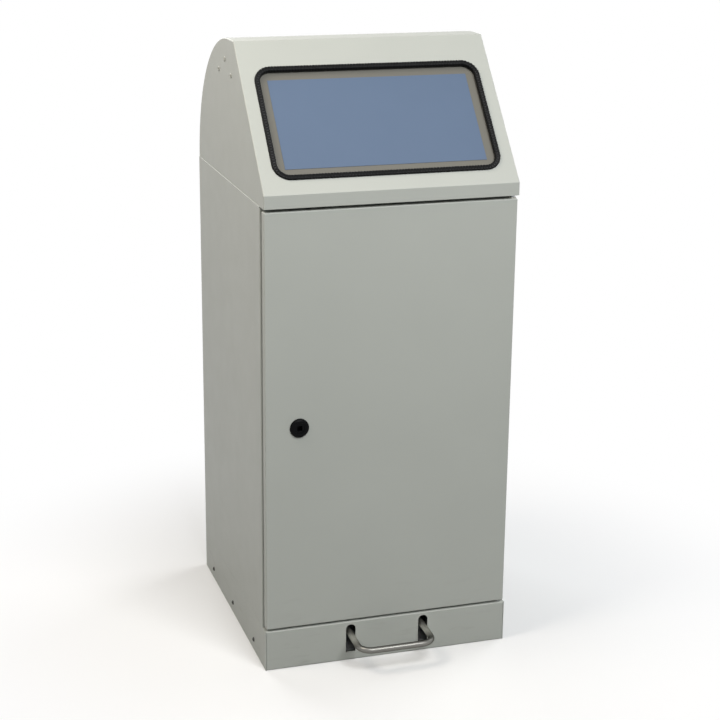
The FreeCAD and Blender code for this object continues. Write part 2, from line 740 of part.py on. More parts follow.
def flap_bearings():
    """Bearing plates inside the hood, their rivets and plastic bushes."""
    pieces = []
    rivets = []
    bushes = []
    bore = "(axle / 2 + bush_wall + play)"
    reach = "(rivet_spread + rivet_head)"
    top, foot = "(rivet_rise + rivet_head)", "(rivet_drop + rivet_head)"
    section = Loop([
        (f"{AXLE_Y} - {reach}", f"{AXLE_Z} - {foot}"), (f"{AXLE_Y} + {reach}", f"{AXLE_Z} - {foot}"),
        (f"{AXLE_Y} + {reach}", AXLE_Z), (f"{AXLE_Y} + {top}", f"{AXLE_Z} + {top}"),
        (f"{AXLE_Y} - {top}", f"{AXLE_Z} + {top}"), (f"{AXLE_Y} - {reach}", AXLE_Z),
    ])
    for name, side, heading in (("left", -1, "+X"), ("right", 1, "-X")):
        plate = new_body(f"flap_bracket_{name}")
        face = f"({HOOD_INNER_HALF} - bracket)"
        boss = f"({face} - bracket_boss_height)"
        spans = {-1: ((f"-{HOOD_INNER_HALF}", f"-{face}"), (f"-{face}", f"-{boss}")),
                 1: ((face, HOOD_INNER_HALF), (boss, face))}[side]
        pad(plate, "YZ", *spans[0], section)
        pad(plate, "YZ", *spans[1], Circle(AXLE_Y, AXLE_Z, "bracket_boss / 2"))
        low, high = min(spans[0][0], spans[1][0], key=value), max(spans[0][1], spans[1][1], key=value)
        holes = [Circle(y, z, "rivet_shank / 2 + play") for y, z in rivet_places()]
        pocket(plate, "YZ", low, high, Circle(AXLE_Y, AXLE_Z, bore), *holes)
        if side > 0:
            peg = Circle(f"{AXLE_Y} + {PEG_REACH}", PEG_Z, "spring_peg / 2")
            pad(plate, "YZ", f"{SPRING_END} - spring_wire", face, peg)
        pieces.append(plate)
        for y, z in rivet_places():
            place = (f"{side} * {HOOD_HALF}", y, z)
            rivets.append(turned(f"rivet_{len(rivets)}", place, heading, rivet_profile("sheet + bracket")))
        outward = {"+X": "-X", "-X": "+X"}[heading]
        sleeve = "bracket_boss_height + bracket"
        profile = bush_profile("axle", "bush_wall", "bush_flange", sleeve, "bush_wall")
        bushes.append(turned(f"flap_bush_{name}", (f"{side} * {boss}", AXLE_Y, AXLE_Z), outward, profile))
    return pieces + [grouped("bracket_rivets", rivets), grouped("flap_bushes", bushes)]


# The closing spring lies on the axle between the right cheek of the flap and its bearing
SPRING_START = f"({FLAP_HALF} + spring_wire)"
SPRING_END = f"({SPRING_START} + spring_turns * spring_pitch)"
LEG_Z = f"({AXLE_Z} - spring_radius)"
PEG_Z = f"({LEG_Z} + spring_wire / 2 + spring_peg / 2 + play)"
PEG_REACH = "(0.7 * spring_leg)"


def closing_spring():
    """A torsion spring: one leg lifts the flap, the other bears up against the right bracket."""
    wire = value("spring_wire") / 2
    radius = value("spring_radius")
    centre_y, centre_z = value(AXLE_Y), value(AXLE_Z)
    start, pitch, leg = value(SPRING_START), value("spring_pitch"), value("spring_leg")
    quarters = 4 * round(value("spring_turns"))

    def on_coil(turn):
        angle = 2 * math.pi * turn - math.pi / 2
        out = Vector(0, math.cos(angle), math.sin(angle)) * radius
        return Vector(start + pitch * turn, centre_y, centre_z) + out

    first, last = on_coil(0), on_coil(quarters / 4)
    edges = [Part.LineSegment(first - Vector(0, leg, 0), first).toShape()]
    for quarter in range(quarters):
        through = [on_coil((quarter + share) / 4) for share in (0, 0.5, 1)]
        edges.append(Part.Arc(*through).toShape())
    edges.append(Part.LineSegment(last, last + Vector(0, leg, 0)).toShape())
    path = Part.Wire(edges)
    section = Part.Wire(Part.Circle(first - Vector(0, leg, 0), Vector(0, 1, 0), wire).toShape())
    spring = doc.addObject("Part::Feature", "closing_spring")
    spring.Shape = path.makePipeShell([section], True, False)
    spring.Placement = Placement()
    print(f"closing spring: least gap between turns {pitch - 2 * wire:.2f} mm")
    return [spring]


def flap():
    """The flap: pan with two cheeks, its blue field, axle and lever."""
    pan = on_slope("flap_panel")
    face = f"(0 - {FLAP_FACE})"
    back = f"({face} - flap_rim)"
    low = f"(window_foot + {TRIM_LIP} - flap_overlap)"
    high = f"({WINDOW_HEAD} - {TRIM_LIP} + flap_overlap)"
    pad(pan, "XY", back, face, rounded(f"-{FLAP_HALF}", FLAP_HALF, low, high, "flap_corner"))
    inner = rounded(f"-({FLAP_HALF} - flap_sheet)", f"{FLAP_HALF} - flap_sheet",
                    f"({low} + flap_sheet)", f"({high} - flap_sheet)", "(flap_corner - flap_sheet)")
    pocket(pan, "XY", back, f"{face} - flap_sheet", inner)
    axle_up, axle_out = slope_place(AXLE_Y, AXLE_Z)
    boss = "cheek_boss"
    cheek = Loop([
        (f"{low} + window_height / 3", back), (f"{axle_up} - {boss}", f"{axle_out} - {boss}"),
        (f"{axle_up} + {boss}", f"{axle_out} - {boss}"), (f"{axle_up} + {boss}", f"{axle_out} + {boss}"),
        (f"{high} - flap_corner", back), (f"{high} - flap_corner", f"{face} - flap_sheet"),
        (f"{low} + window_height / 3", f"{face} - flap_sheet"),
    ])
    rounding = [cheek.corners[1], cheek.corners[2], cheek.corners[3]]
    peg_up, peg_out = slope_place(f"{AXLE_Y} - {PEG_REACH}", PEG_Z)
    for near, far in ((f"-{FLAP_HALF}", f"-({FLAP_HALF} - cheek)"), (f"{FLAP_HALF} - cheek", FLAP_HALF)):
        pad(pan, "YZ", near, far, cheek)
    fillet(pan, f"0.8 * {boss}", edges_at(pan.Tip.Shape, "YZ", rounding))
    pad(pan, "YZ", FLAP_HALF, f"{SPRING_START} + spring_wire", Circle(peg_up, peg_out, "spring_peg / 2"))
    pocket(pan, "YZ", f"-{FLAP_HALF}", FLAP_HALF, Circle(axle_up, axle_out, "axle / 2 + play"))

    field = on_slope("colour_panel")
    margin = f"({TRIM_LIP} + panel_border)"
    pad(field, "XY", face, f"{face} + panel_thickness",
        rectangle(f"-({WINDOW_HALF} - {margin})", f"{WINDOW_HALF} - {margin}",
                  f"window_foot + {margin}", f"{WINDOW_HEAD} - {margin}"))

    axle_half = f"({HOOD_INNER_HALF} - seam)"
    axle = turned("flap_axle", (f"-{axle_half}", AXLE_Y, AXLE_Z), "+X",
                  pin_profile("axle / 2", "0", f"2 * {axle_half}"))

    lever = new_body("flap_lever")
    plate_far = f"({ROD_X} + rod_cap / 2 + lever_clear)"
    plate_near = f"({plate_far} + lever_plate)"
    pad(lever, "YZ", plate_far, f"-{FLAP_HALF} - play", Circle(AXLE_Y, AXLE_Z, "lever_hub / 2"))
    arm = arm_outline(AXLE_Y, AXLE_Z, "lever_hub", PIN_Y, PIN_Z, "lever_eye")
    pad(lever, "YZ", plate_far, plate_near, arm)
    pad(lever, "YZ", f"{ROD_X} - rod / 2", plate_far, Circle(PIN_Y, PIN_Z, "lever_pin / 2"))
    pocket(lever, "YZ", plate_far, f"-{FLAP_HALF}", Circle(AXLE_Y, AXLE_Z, "axle / 2 + play"))
    return [pan, field, axle, lever]


def arm_outline(y, z, hub, end_y, end_z, eye):
    """The outline of a flat arm from a hub to an eye, round at its ends."""
    reach = f"sqrt(({end_y} - {y})^2 + ({end_z} - {z})^2)"
    along = f"(({end_y} - {y}) / {reach})", f"(({end_z} - {z}) / {reach})"

    def beside(centre_y, centre_z, across, hand):
        return (f"{centre_y} - {hand} * {along[1]} * {across} / 2",
                f"{centre_z} + {hand} * {along[0]} * {across} / 2")

    corners = [beside(y, z, hub, -1), beside(end_y, end_z, eye, -1),
               beside(end_y, end_z, eye, 1), beside(y, z, hub, 1)]
    return Loop(corners, {1: (end_y, end_z), 3: (y, z)})


def pedal():
    """The pedal: bent bar on a cross shaft, with a lever at the rod and its bearings in the plinth."""
    bar = new_body("pedal_bar")
    bar.Placement = Placement(Vector(), Rotation(Vector(1, 0, 0), 1))
    bar.setExpression("Placement.Base.y", formula(SHAFT_Y))
    bar.setExpression("Placement.Base.z", formula("shaft_height"))
    bar.setExpression("Placement.Rotation.Angle", formula(ARM_ANGLE))
    half, bend = "(arm_spacing / 2)", "pedal_bend"
    route = new_sketch(bar, "XY", "0", [])
    draw_bent_bar(route, half, ARM_LENGTH, bend)
    round_end = new_sketch(bar, "XZ", "0", [Circle(f"-{half}", "0", "pedal_bar / 2")])
    pipe = bar.newObject("PartDesign::AdditivePipe", "Pipe")
    pipe.Profile = round_end
    pipe.Spine = (route, [f"Edge{number}" for number in range(1, 6)])
    bar.Tip = pipe
    doc.recompute()
    pocket(bar, "YZ", f"-{half} - pedal_bar", f"{half} + pedal_bar", Circle("0", "0", "shaft / 2 + play"))

    shaft_half = f"({INNER_HALF} - seam)"
    shaft = turned("pedal_shaft", (f"-{shaft_half}", SHAFT_Y, "shaft_height"), "+X",
                   pin_profile("shaft / 2", "0", f"2 * {shaft_half}"))

    lever = new_body("pedal_lever")
    near, far = f"({ROD_X} - pedal_lever_plate / 2)", f"({ROD_X} + pedal_lever_plate / 2)"
    pad(lever, "YZ", near, far,
        arm_outline(SHAFT_Y, "shaft_height", "pedal_lever_hub", NOSE_Y, NOSE_Z, "pedal_lever_nose"))
    pocket(lever, "YZ", near, far, Circle(SHAFT_Y, "shaft_height", "shaft / 2 + play"))

    rails = []
    bushes = []
    rail_start = f"({screw_y(0)} - rail_margin)"
    rail_end = f"({screw_y(2)} + rail_margin)"
    bore = "(shaft / 2 + bush_wall + play)"
    for name, side, heading in (("left", -1, "-X"), ("right", 1, "+X")):
        rail = new_body(f"pedal_rail_{name}")
        wall, face, foot = INNER_HALF, f"({INNER_HALF} - rail)", f"({INNER_HALF} - rail_foot)"
        section = Loop([
            (f"{side} * {wall}", "sheet"), (f"{side} * {wall}", "sheet + rail_height"),
            (f"{side} * {face}", "sheet + rail_height"), (f"{side} * {face}", "sheet + rail"),
            (f"{side} * {foot}", "sheet + rail"), (f"{side} * {foot}", "sheet"),
        ])
        pad(rail, "XZ", rail_start, rail_end, section)
        span = sorted((f"{side} * {wall}", f"{side} * {face}"), key=value)
        pocket(rail, "YZ", *span, Circle(SHAFT_Y, "shaft_height", bore), *screw_holes())
        rails.append(rail)
        profile = bush_profile("shaft", "bush_wall", "bush_flange", "rail", "bush_wall")
        place = (f"{side} * {face}", SHAFT_Y, "shaft_height")
        bushes.append(turned(f"pedal_bush_{name}", place, heading, profile))

    stops = []
    arm_drop = f"(shaft_back - buffer_back) * tan({ARM_ANGLE})"
    arm_top = f"(shaft_height - {arm_drop} + pedal_bar / 2 / cos({ARM_ANGLE}))"
    for side in (-1, 1):
        place = (f"{side} * {half}", BUFFER_Y, PLINTH_TOP)
        drop = f"({PLINTH_TOP} - {arm_top} - pedal_buffer_clear)"
        profile = [("0", "0"), ("pedal_buffer / 2", "0"), ("0.45 * pedal_buffer", f"0.8 * {drop}"),
                   ("0.35 * pedal_buffer", drop), ("0", drop)]
        stops.append(turned(f"pedal_buffer_{len(stops)}", place, "-Z", profile))
    return [bar, shaft, lever, *rails, grouped("pedal_bushes", bushes), grouped("pedal_buffers", stops)]


def draw_bent_bar(route, half, reach, bend):
    """The centre line of the pedal bar: two arms, two bends and the tread."""
    corners = [(f"-{half}", "0"), (f"-{half}", f"{bend} - {reach}"), (f"{bend} - {half}", f"-{reach}"),
               (f"{half} - {bend}", f"-{reach}"), (half, f"{bend} - {reach}"), (half, "0")]
    spots = [Vector(value(u), value(v), 0) for u, v in corners]
    for number in range(5):
        start, end = spots[number], spots[number + 1]
        if number in (1, 3):
            across = spots[2 if number == 1 else 3].x
            centre = Vector(across, spots[1].y, 0)
            turns = sorted(math.atan2(spot.y - centre.y, spot.x - centre.x) for spot in (start, end))
            if number == 1:
                turns = [math.pi, 1.5 * math.pi]
            circle = Part.Circle(centre, Vector(0, 0, 1), value(bend))
            route.addGeometry(Part.ArcOfCircle(circle, turns[0], turns[1]), False)
        else:
            route.addGeometry(Part.LineSegment(start, end), False)
    for number in range(4):
        route.addConstraint(Sketcher.Constraint("Coincident", number, 2, number + 1, 1))
    for number, (u, v) in enumerate(corners):
        geometry, point = (number, 1) if number < 5 else (4, 2)
        for kind, text in (("DistanceX", u), ("DistanceY", v)):
            place = route.addConstraint(Sketcher.Constraint(kind, -1, 1, geometry, point, value(text)))
            route.setExpression(f"Constraints[{place}]", formula(text))
    for number in (1, 3):
        centre_v = f"{bend} - {reach}"
        place = route.addConstraint(Sketcher.Constraint("DistanceY", -1, 1, number, 3, value(centre_v)))
        route.setExpression(f"Constraints[{place}]", formula(centre_v))


def push_rod():
    """The push rod, its two plastic caps and the guides on the left wall."""
    rod_low, rod_high = f"({ROD_FOOT} + rod_cap_floor)", f"({ROD_HEAD} - rod_cap_floor)"
    rod = turned("push_rod", (ROD_X, ROD_Y, rod_low), "+Z",
                 pin_profile("rod / 2", "0", f"{rod_high} - {rod_low}"))
    cap = [("0", "0"), ("0.1 * rod_cap", "0"), ("0.35 * rod_cap", "0.1 * rod_cap_height"),
           ("rod_cap / 2", "0.3 * rod_cap_height"), ("rod_cap / 2", "0.7 * rod_cap_height"),
           ("0.36 * rod_cap", "rod_cap_height"), ("rod / 2 + play", "rod_cap_height"),
           ("rod / 2 + play", "rod_cap_floor"), ("0", "rod_cap_floor")]
    caps = [turned("rod_cap_low", (ROD_X, ROD_Y, ROD_FOOT), "+Z", cap),
            turned("rod_cap_high", (ROD_X, ROD_Y, ROD_HEAD), "-Z", cap)]

    guides = []
    bushes = []
    bore = "(rod / 2 + bush_wall + play)"
    levels = {"lower": "(plinth_height + guide_low)", "upper": f"({CABINET_TOP} - guide_high)"}
    for name, level in levels.items():
        guide = new_body(f"rod_guide_{name}")
        wall, nose = f"-{INNER_HALF}", f"({ROD_X} + rod_wall - guide_plate)"
        section = Loop([
            (wall, f"{level} - guide_tab"), (f"{wall} + guide_plate", f"{level} - guide_tab"),
            (f"{wall} + guide_plate", level), (nose, level),
            (nose, f"{level} + guide_plate"), (wall, f"{level} + guide_plate"),
        ])
        pad(guide, "XZ", f"{ROD_Y} - guide_length / 2", f"{ROD_Y} + guide_length / 2", section)
        ends = [(nose, f"{ROD_Y} {sign} guide_length / 2") for sign in "+-"]
        fillet(guide, "guide_length / 5", edges_at(guide.Tip.Shape, "XY", ends))
        pocket(guide, "XY", level, f"{level} + guide_plate", Circle(ROD_X, ROD_Y, bore))
        guides.append(guide)
        profile = bush_profile("rod", "bush_wall", "bush_flange", "guide_plate + bush_flange", "bush_flange")
        bushes.append(turned(f"rod_bush_{name}", (ROD_X, ROD_Y, f"{level} + guide_plate"), "-Z", profile))
    return [rod, grouped("rod_caps", caps), *guides, grouped("rod_guide_bushes", bushes)]


def door():
    """The door pan with its stiffener, bushes and buffers, and the two hinge pins."""
    panel = new_body("door_panel")
    rear = f"({FRONT} + door_depth)"
    pad(panel, "XZ", FRONT, rear, rectangle(f"-{DOOR_HALF}", DOOR_HALF, DOOR_FOOT, DOOR_HEAD))
    sides = edges_at(panel.Tip.Shape, "XZ", [(f"{side} * {DOOR_HALF}", z)
                                             for side in (-1, 1) for z in (DOOR_FOOT, DOOR_HEAD)])
    uprights = edges_at(panel.Tip.Shape, "XY", [(f"{side} * {DOOR_HALF}", y)
                                                for side in (-1, 1) for y in (FRONT, rear)])
    levels = edges_at(panel.Tip.Shape, "YZ", [(y, z) for y in (FRONT, rear) for z in (DOOR_FOOT, DOOR_HEAD)])
    fillet(panel, "door_edge", sides + uprights + levels)
    pocket(panel, "XZ", f"{FRONT} + sheet", f"{rear} - sheet",
           rectangle(f"-({DOOR_HALF} - sheet)", f"{DOOR_HALF} - sheet",
                     f"{DOOR_FOOT} + sheet", f"{DOOR_HEAD} - sheet"))
    pocket(panel, "XZ", f"{rear} - sheet", rear,
           rectangle(f"-({DOOR_HALF} - door_lip)", f"{DOOR_HALF} - door_lip",
                     f"{DOOR_FOOT} + door_lip", f"{DOOR_HEAD} - door_lip"))
    pocket(panel, "XZ", FRONT, f"{FRONT} + sheet", Circle(LOCK_X, LOCK_Z, "lock_barrel / 2 + play"))
    bush_hole = Circle(HINGE_X, HINGE_Y, "hinge_pin / 2 + hinge_bush_wall + play")
    pocket(panel, "XY", DOOR_FOOT, f"{DOOR_FOOT} + sheet", bush_hole)
    pocket(panel, "XY", f"{DOOR_HEAD} - sheet", DOOR_HEAD, bush_hole)

    stiffener = new_body("door_stiffener")
    skin = f"({FRONT} + sheet)"
    crown = f"({skin} + stiffener_height)"
    outer = [("-stiffener_crown / 2", crown), ("stiffener_crown / 2", crown)]
    inner = [("stiffener_crown / 2 - sheet", f"{crown} - sheet"),
             ("sheet - stiffener_crown / 2", f"{crown} - sheet")]
    hat = Loop([
        ("-stiffener_width / 2", skin), ("-stiffener_width / 2", f"{skin} + sheet"),
        ("-stiffener_crown / 2", f"{skin} + sheet"), outer[0], outer[1],
        ("stiffener_crown / 2", f"{skin} + sheet"), ("stiffener_width / 2", f"{skin} + sheet"),
        ("stiffener_width / 2", skin), ("stiffener_crown / 2 - sheet", skin), inner[0], inner[1],
        ("sheet - stiffener_crown / 2", skin),
    ])
    pad(stiffener, "XY", f"{DOOR_FOOT} + stiffener_end_gap", f"{DOOR_HEAD} - stiffener_end_gap", hat)
    fold(stiffener, "XY", outer, inner)

    wall = "hinge_bush_wall"
    bush = bush_profile("hinge_pin", wall, "hinge_bush_flange", "hinge_reach", wall)
    bushes = [turned("hinge_bush_low", (HINGE_X, HINGE_Y, DOOR_FOOT), "+Z", bush),
              turned("hinge_bush_high", (HINGE_X, HINGE_Y, DOOR_HEAD), "-Z", bush)]
    pins = [hinge_pin("hinge_pin_lower", f"{PLINTH_TOP} - sheet", "+Z", "door_foot_gap"),
            hinge_pin("hinge_pin_upper", CABINET_TOP, "-Z", "door_head_gap - sheet")]

    pads = []
    spread = f"({DOOR_HEAD} - {DOOR_FOOT}) / 2 - stiffener_end_gap"
    for step in (-1, 0, 1):
        level = f"({DOOR_HEAD} + {DOOR_FOOT}) / 2 + {step} * ({spread})"
        place = (f"jamb / 2 - {HALF}", CABINET_FRONT, level)
        thick = "(buffer_clear - door_gap)"
        profile = [("0", thick), ("0.35 * buffer_diameter", thick),
                   ("buffer_diameter / 2", f"0.6 * {thick}"), ("buffer_diameter / 2", "0"), ("0", "0")]
        pads.append(turned(f"door_buffer_{len(pads)}", place, "+Y", profile))
    return [panel, stiffener, grouped("hinge_bushes", bushes), *pins, grouped("door_buffers", pads)]


def hinge_pin(label, level, heading, gap):
    """A pin set in a flange, with a shoulder on the flange and its tip in the door's bush."""
    shoulder = "hinge_pin / 2 + hinge_bush_wall"
    tip = f"sheet + {gap} + hinge_reach"
    profile = [("0", "0"), ("hinge_pin / 2", "0"), ("hinge_pin / 2", "sheet"), (shoulder, "sheet"),
               (shoulder, "sheet + hinge_shoulder"), ("hinge_pin / 2", "sheet + hinge_shoulder"),
               ("hinge_pin / 2", f"{tip} - hinge_pin / 4"), ("hinge_pin / 4", tip), ("0", tip)]
    return turned(label, (HINGE_X, HINGE_Y, level), heading, profile)


def lock():
    """The quarter-turn lock: housing and nut on the door, and the core that carries the tongue."""
    place = (LOCK_X, FRONT, LOCK_Z)
    bore = "lock_core / 2 + play"
    barrel_end = f"({TONGUE_Y} - tongue_clear)"
    housing = turned("lock_housing", place, "+Y", [
        (bore, "0.4 - lock_head_height"), ("0.32 * lock_head", "-lock_head_height"),
        ("0.4 * lock_head", "-lock_head_height"), ("0.47 * lock_head", "-0.75 * lock_head_height"),
        ("lock_head / 2", "-0.35 * lock_head_height"), ("lock_head / 2", "0"), ("lock_barrel / 2", "0"),
        ("lock_barrel / 2", barrel_end), (bore, barrel_end),
    ])
    nut = new_body("lock_nut")
    flats = []
    for number in range(6):
        angle = 60 * number
        flats.append((f"{LOCK_X} + lock_nut / 2 / cos(30) * cos({angle})",
                      f"{LOCK_Z} + lock_nut / 2 / cos(30) * sin({angle})"))
    nut_front = f"({FRONT} + sheet)"
    pad(nut, "XZ", nut_front, f"{nut_front} + lock_nut_height",
        Loop(flats), Circle(LOCK_X, LOCK_Z, "lock_barrel / 2 + play"))

    core_front = "(1.2 - lock_head_height)"
    core = turned("lock_spindle", place, "+Y", pin_profile("lock_core / 2", core_front, TONGUE_Y))
    doc.recompute()
    half = "lock_socket / 2"
    tongue_back = f"({TONGUE_Y} + tongue_thickness)"
    square = rectangle(f"-{half}", half, f"-{half}", half)
    pocket(core, "XZ", core_front, f"{core_front} + lock_socket_depth", square)
    pad(core, "XZ", TONGUE_Y, f"{tongue_back} - play", square)
    thread = Circle("0", "0", "screw_shank / 2 + play")
    pocket(core, "XZ", f"{tongue_back} - lock_socket", tongue_back, thread)

    tongue = new_body("lock_tongue")
    tongue_front = f"({FRONT} + {TONGUE_Y})"
    tip = f"({LOCK_Z} - tongue_length)"
    blade = upright_slot(LOCK_X, tip, f"{LOCK_Z} + tongue_width / 2 + 2", "tongue_width")
    eye = rectangle(f"{LOCK_X} - {half} - play", f"{LOCK_X} + {half} + play",
                    f"{LOCK_Z} - {half} - play", f"{LOCK_Z} + {half} + play")
    pad(tongue, "XZ", tongue_front, f"{tongue_front} + tongue_thickness", blade, eye)

    screw = new_body("tongue_screw")
    head_front = f"({tongue_front} + tongue_thickness)"
    head = Circle(LOCK_X, LOCK_Z, "0.7 * screw_head")
    shank = Circle(LOCK_X, LOCK_Z, "screw_shank / 2")
    pad(screw, "XZ", head_front, f"{head_front} + screw_head_height", head)
    pad(screw, "XZ", f"{head_front} - lock_socket + 1", head_front, shank)
    return [housing, nut, core, tongue, screw]


def inner_container():
    """The galvanised inner bin, with a turned rim and a grip hole in each side."""
    can = new_body("inner_container")
    half = f"({INNER_HALF} - container_side_gap)"
    front = f"({JAMB_BACK} + container_front_gap)"
    back = f"({INNER_BACK} - container_back_gap)"
    foot = "(plinth_height + sheet)"
    top = f"({CABINET_TOP} - container_headroom)"

    def plan(grow):
        return rounded(f"-({half} + {grow})", f"{half} + {grow}",
                       f"({front} - {grow})", f"({back} + {grow})", f"(container_corner + {grow})")

    pad(can, "XY", foot, top, plan("0"))
    pad(can, "XY", f"{top} - container_rim", top, plan("container_rim"))
    pocket(can, "XY", f"{foot} + container_sheet", top, plan("(0 - container_sheet)"))
    middle = f"(({front} + {back}) / 2)"
    grip = rounded(f"({middle} - grip_width / 2)", f"({middle} + grip_width / 2)",
                   f"({top} - grip_below - grip_height)", f"({top} - grip_below)", "grip_height * 0.4")
    pocket(can, "YZ", f"-{half}", half, grip)
    return [can]


pieces = [*plinth(), *cabinet(), *hood(), *flap_bearings(), *closing_spring(), *flap(),
          *pedal(), *push_rod(), *door(), *lock(), *inner_container()]
doc.recompute()

for item in doc.Objects:
    if "Invalid" in item.State or "Error" in item.State:
        raise RuntimeError(f"{item.Label} could not be worked out: {item.State}")
for piece in pieces:
    if piece.Shape.isNull() or not piece.Shape.isValid() or not piece.Shape.Solids:
        raise RuntimeError(f"{piece.Label} is not a sound solid")

os.makedirs("parts", exist_ok=True)
for piece in pieces:
    piece.Shape.exportStep(f"parts/{piece.Label}.step")
print(f"{len(pieces)} pieces written")
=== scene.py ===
"""Pedal recycling bin: its finishes, edge trim, fasteners and welds, with studio light and a camera."""
import logging
import math
from dataclasses import dataclass
from enum import Enum
from typing import ClassVar

import bmesh
import bpy
from mathutils import Matrix, Vector


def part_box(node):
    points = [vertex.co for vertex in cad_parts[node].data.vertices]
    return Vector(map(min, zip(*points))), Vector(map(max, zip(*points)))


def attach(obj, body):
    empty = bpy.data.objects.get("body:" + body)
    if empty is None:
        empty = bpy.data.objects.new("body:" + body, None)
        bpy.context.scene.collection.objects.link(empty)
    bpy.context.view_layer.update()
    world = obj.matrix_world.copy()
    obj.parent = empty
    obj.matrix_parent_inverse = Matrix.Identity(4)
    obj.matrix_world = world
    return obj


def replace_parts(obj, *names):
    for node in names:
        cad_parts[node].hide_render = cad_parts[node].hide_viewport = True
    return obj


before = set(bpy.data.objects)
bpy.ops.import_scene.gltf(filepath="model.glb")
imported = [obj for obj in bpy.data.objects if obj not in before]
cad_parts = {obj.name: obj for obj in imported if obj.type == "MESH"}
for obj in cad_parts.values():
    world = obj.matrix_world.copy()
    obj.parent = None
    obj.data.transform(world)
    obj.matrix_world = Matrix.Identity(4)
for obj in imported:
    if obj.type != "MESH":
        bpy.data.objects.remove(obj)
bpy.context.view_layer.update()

MM = 0.001
QUARTER = math.pi / 2
# Points that lie nearer than this, in millimetres, are one.
SAME_POINT = 1e-3
# The part of its range that a noise mostly fills.
NOISE_LOW, NOISE_HIGH = 0.3, 0.7
# A mix node's two colours and its mixed colour, by number because its sockets share their names.
COLOUR_A, COLOUR_B, MIXED = 6, 7, 2
LOG = logging.getLogger("bin")


class Body(Enum):
    """The bodies of the bin that move against each other."""

    CABINET = "cabinet"
    DOOR = "door"
    LOCK = "lock"
    PEDAL = "pedal"
    ROD = "push_rod"
    FLAP = "flap"


class Slot(Enum):
    """The places for a finish that the record names."""

    COAT = "grey_coat"
    FLAP = "flap_grey"
    BLUE = "blue_face"
    RUBBER = "black_rubber"
    LOCK = "black_lock"
    HEAD = "grey_head"
    ZINC = "zinc_steel"
    BRIGHT = "bright_steel"
    SPRING = "spring_steel"
    BEARING = "white_plastic"
    BUFFER = "black_plastic"
    GALVANISED = "galvanised_steel"


def linear(code: str, shade: float = 1.0) -> tuple[float, float, float, float]:
    """Turn an sRGB hex colour to linear light.

    Args:
        code: The colour as #RRGGBB.
        shade: How much lighter or darker than that the result is.

    Returns:
        Red, green, blue and an alpha of one.
    """
    parts = [int(code[start:start + 2], 16) / 255.0 for start in (1, 3, 5)]
    light = [part / 12.92 if part <= 0.04045 else ((part + 0.055) / 1.055) ** 2.4 for part in parts]
    return (light[0] * shade, light[1] * shade, light[2] * shade, 1.0)


WHITE = linear("#FFFFFF")


def add_node(tree: bpy.types.NodeTree, kind: str, settings: dict[str | int, object] | None = None,
             links: dict[str | int, bpy.types.NodeSocket] | None = None) -> bpy.types.Node:
    """Add a node with its settings and links.

    Args:
        tree: The node tree it goes into.
        kind: The node's type.
        settings: Values by the name of a property, or by the name or number of an input.
        links: Output sockets by the name or number of the input that they feed.

    Returns:
        The new node.
    """
    node = tree.nodes.new(kind)
    for key, setting in (settings or {}).items():
        if isinstance(key, str) and key in node.bl_rna.properties:
            setattr(node, key, setting)
        else:
            node.inputs[key].default_value = setting
    for key, source in (links or {}).items():
        tree.links.new(source, node.inputs[key])
    return node


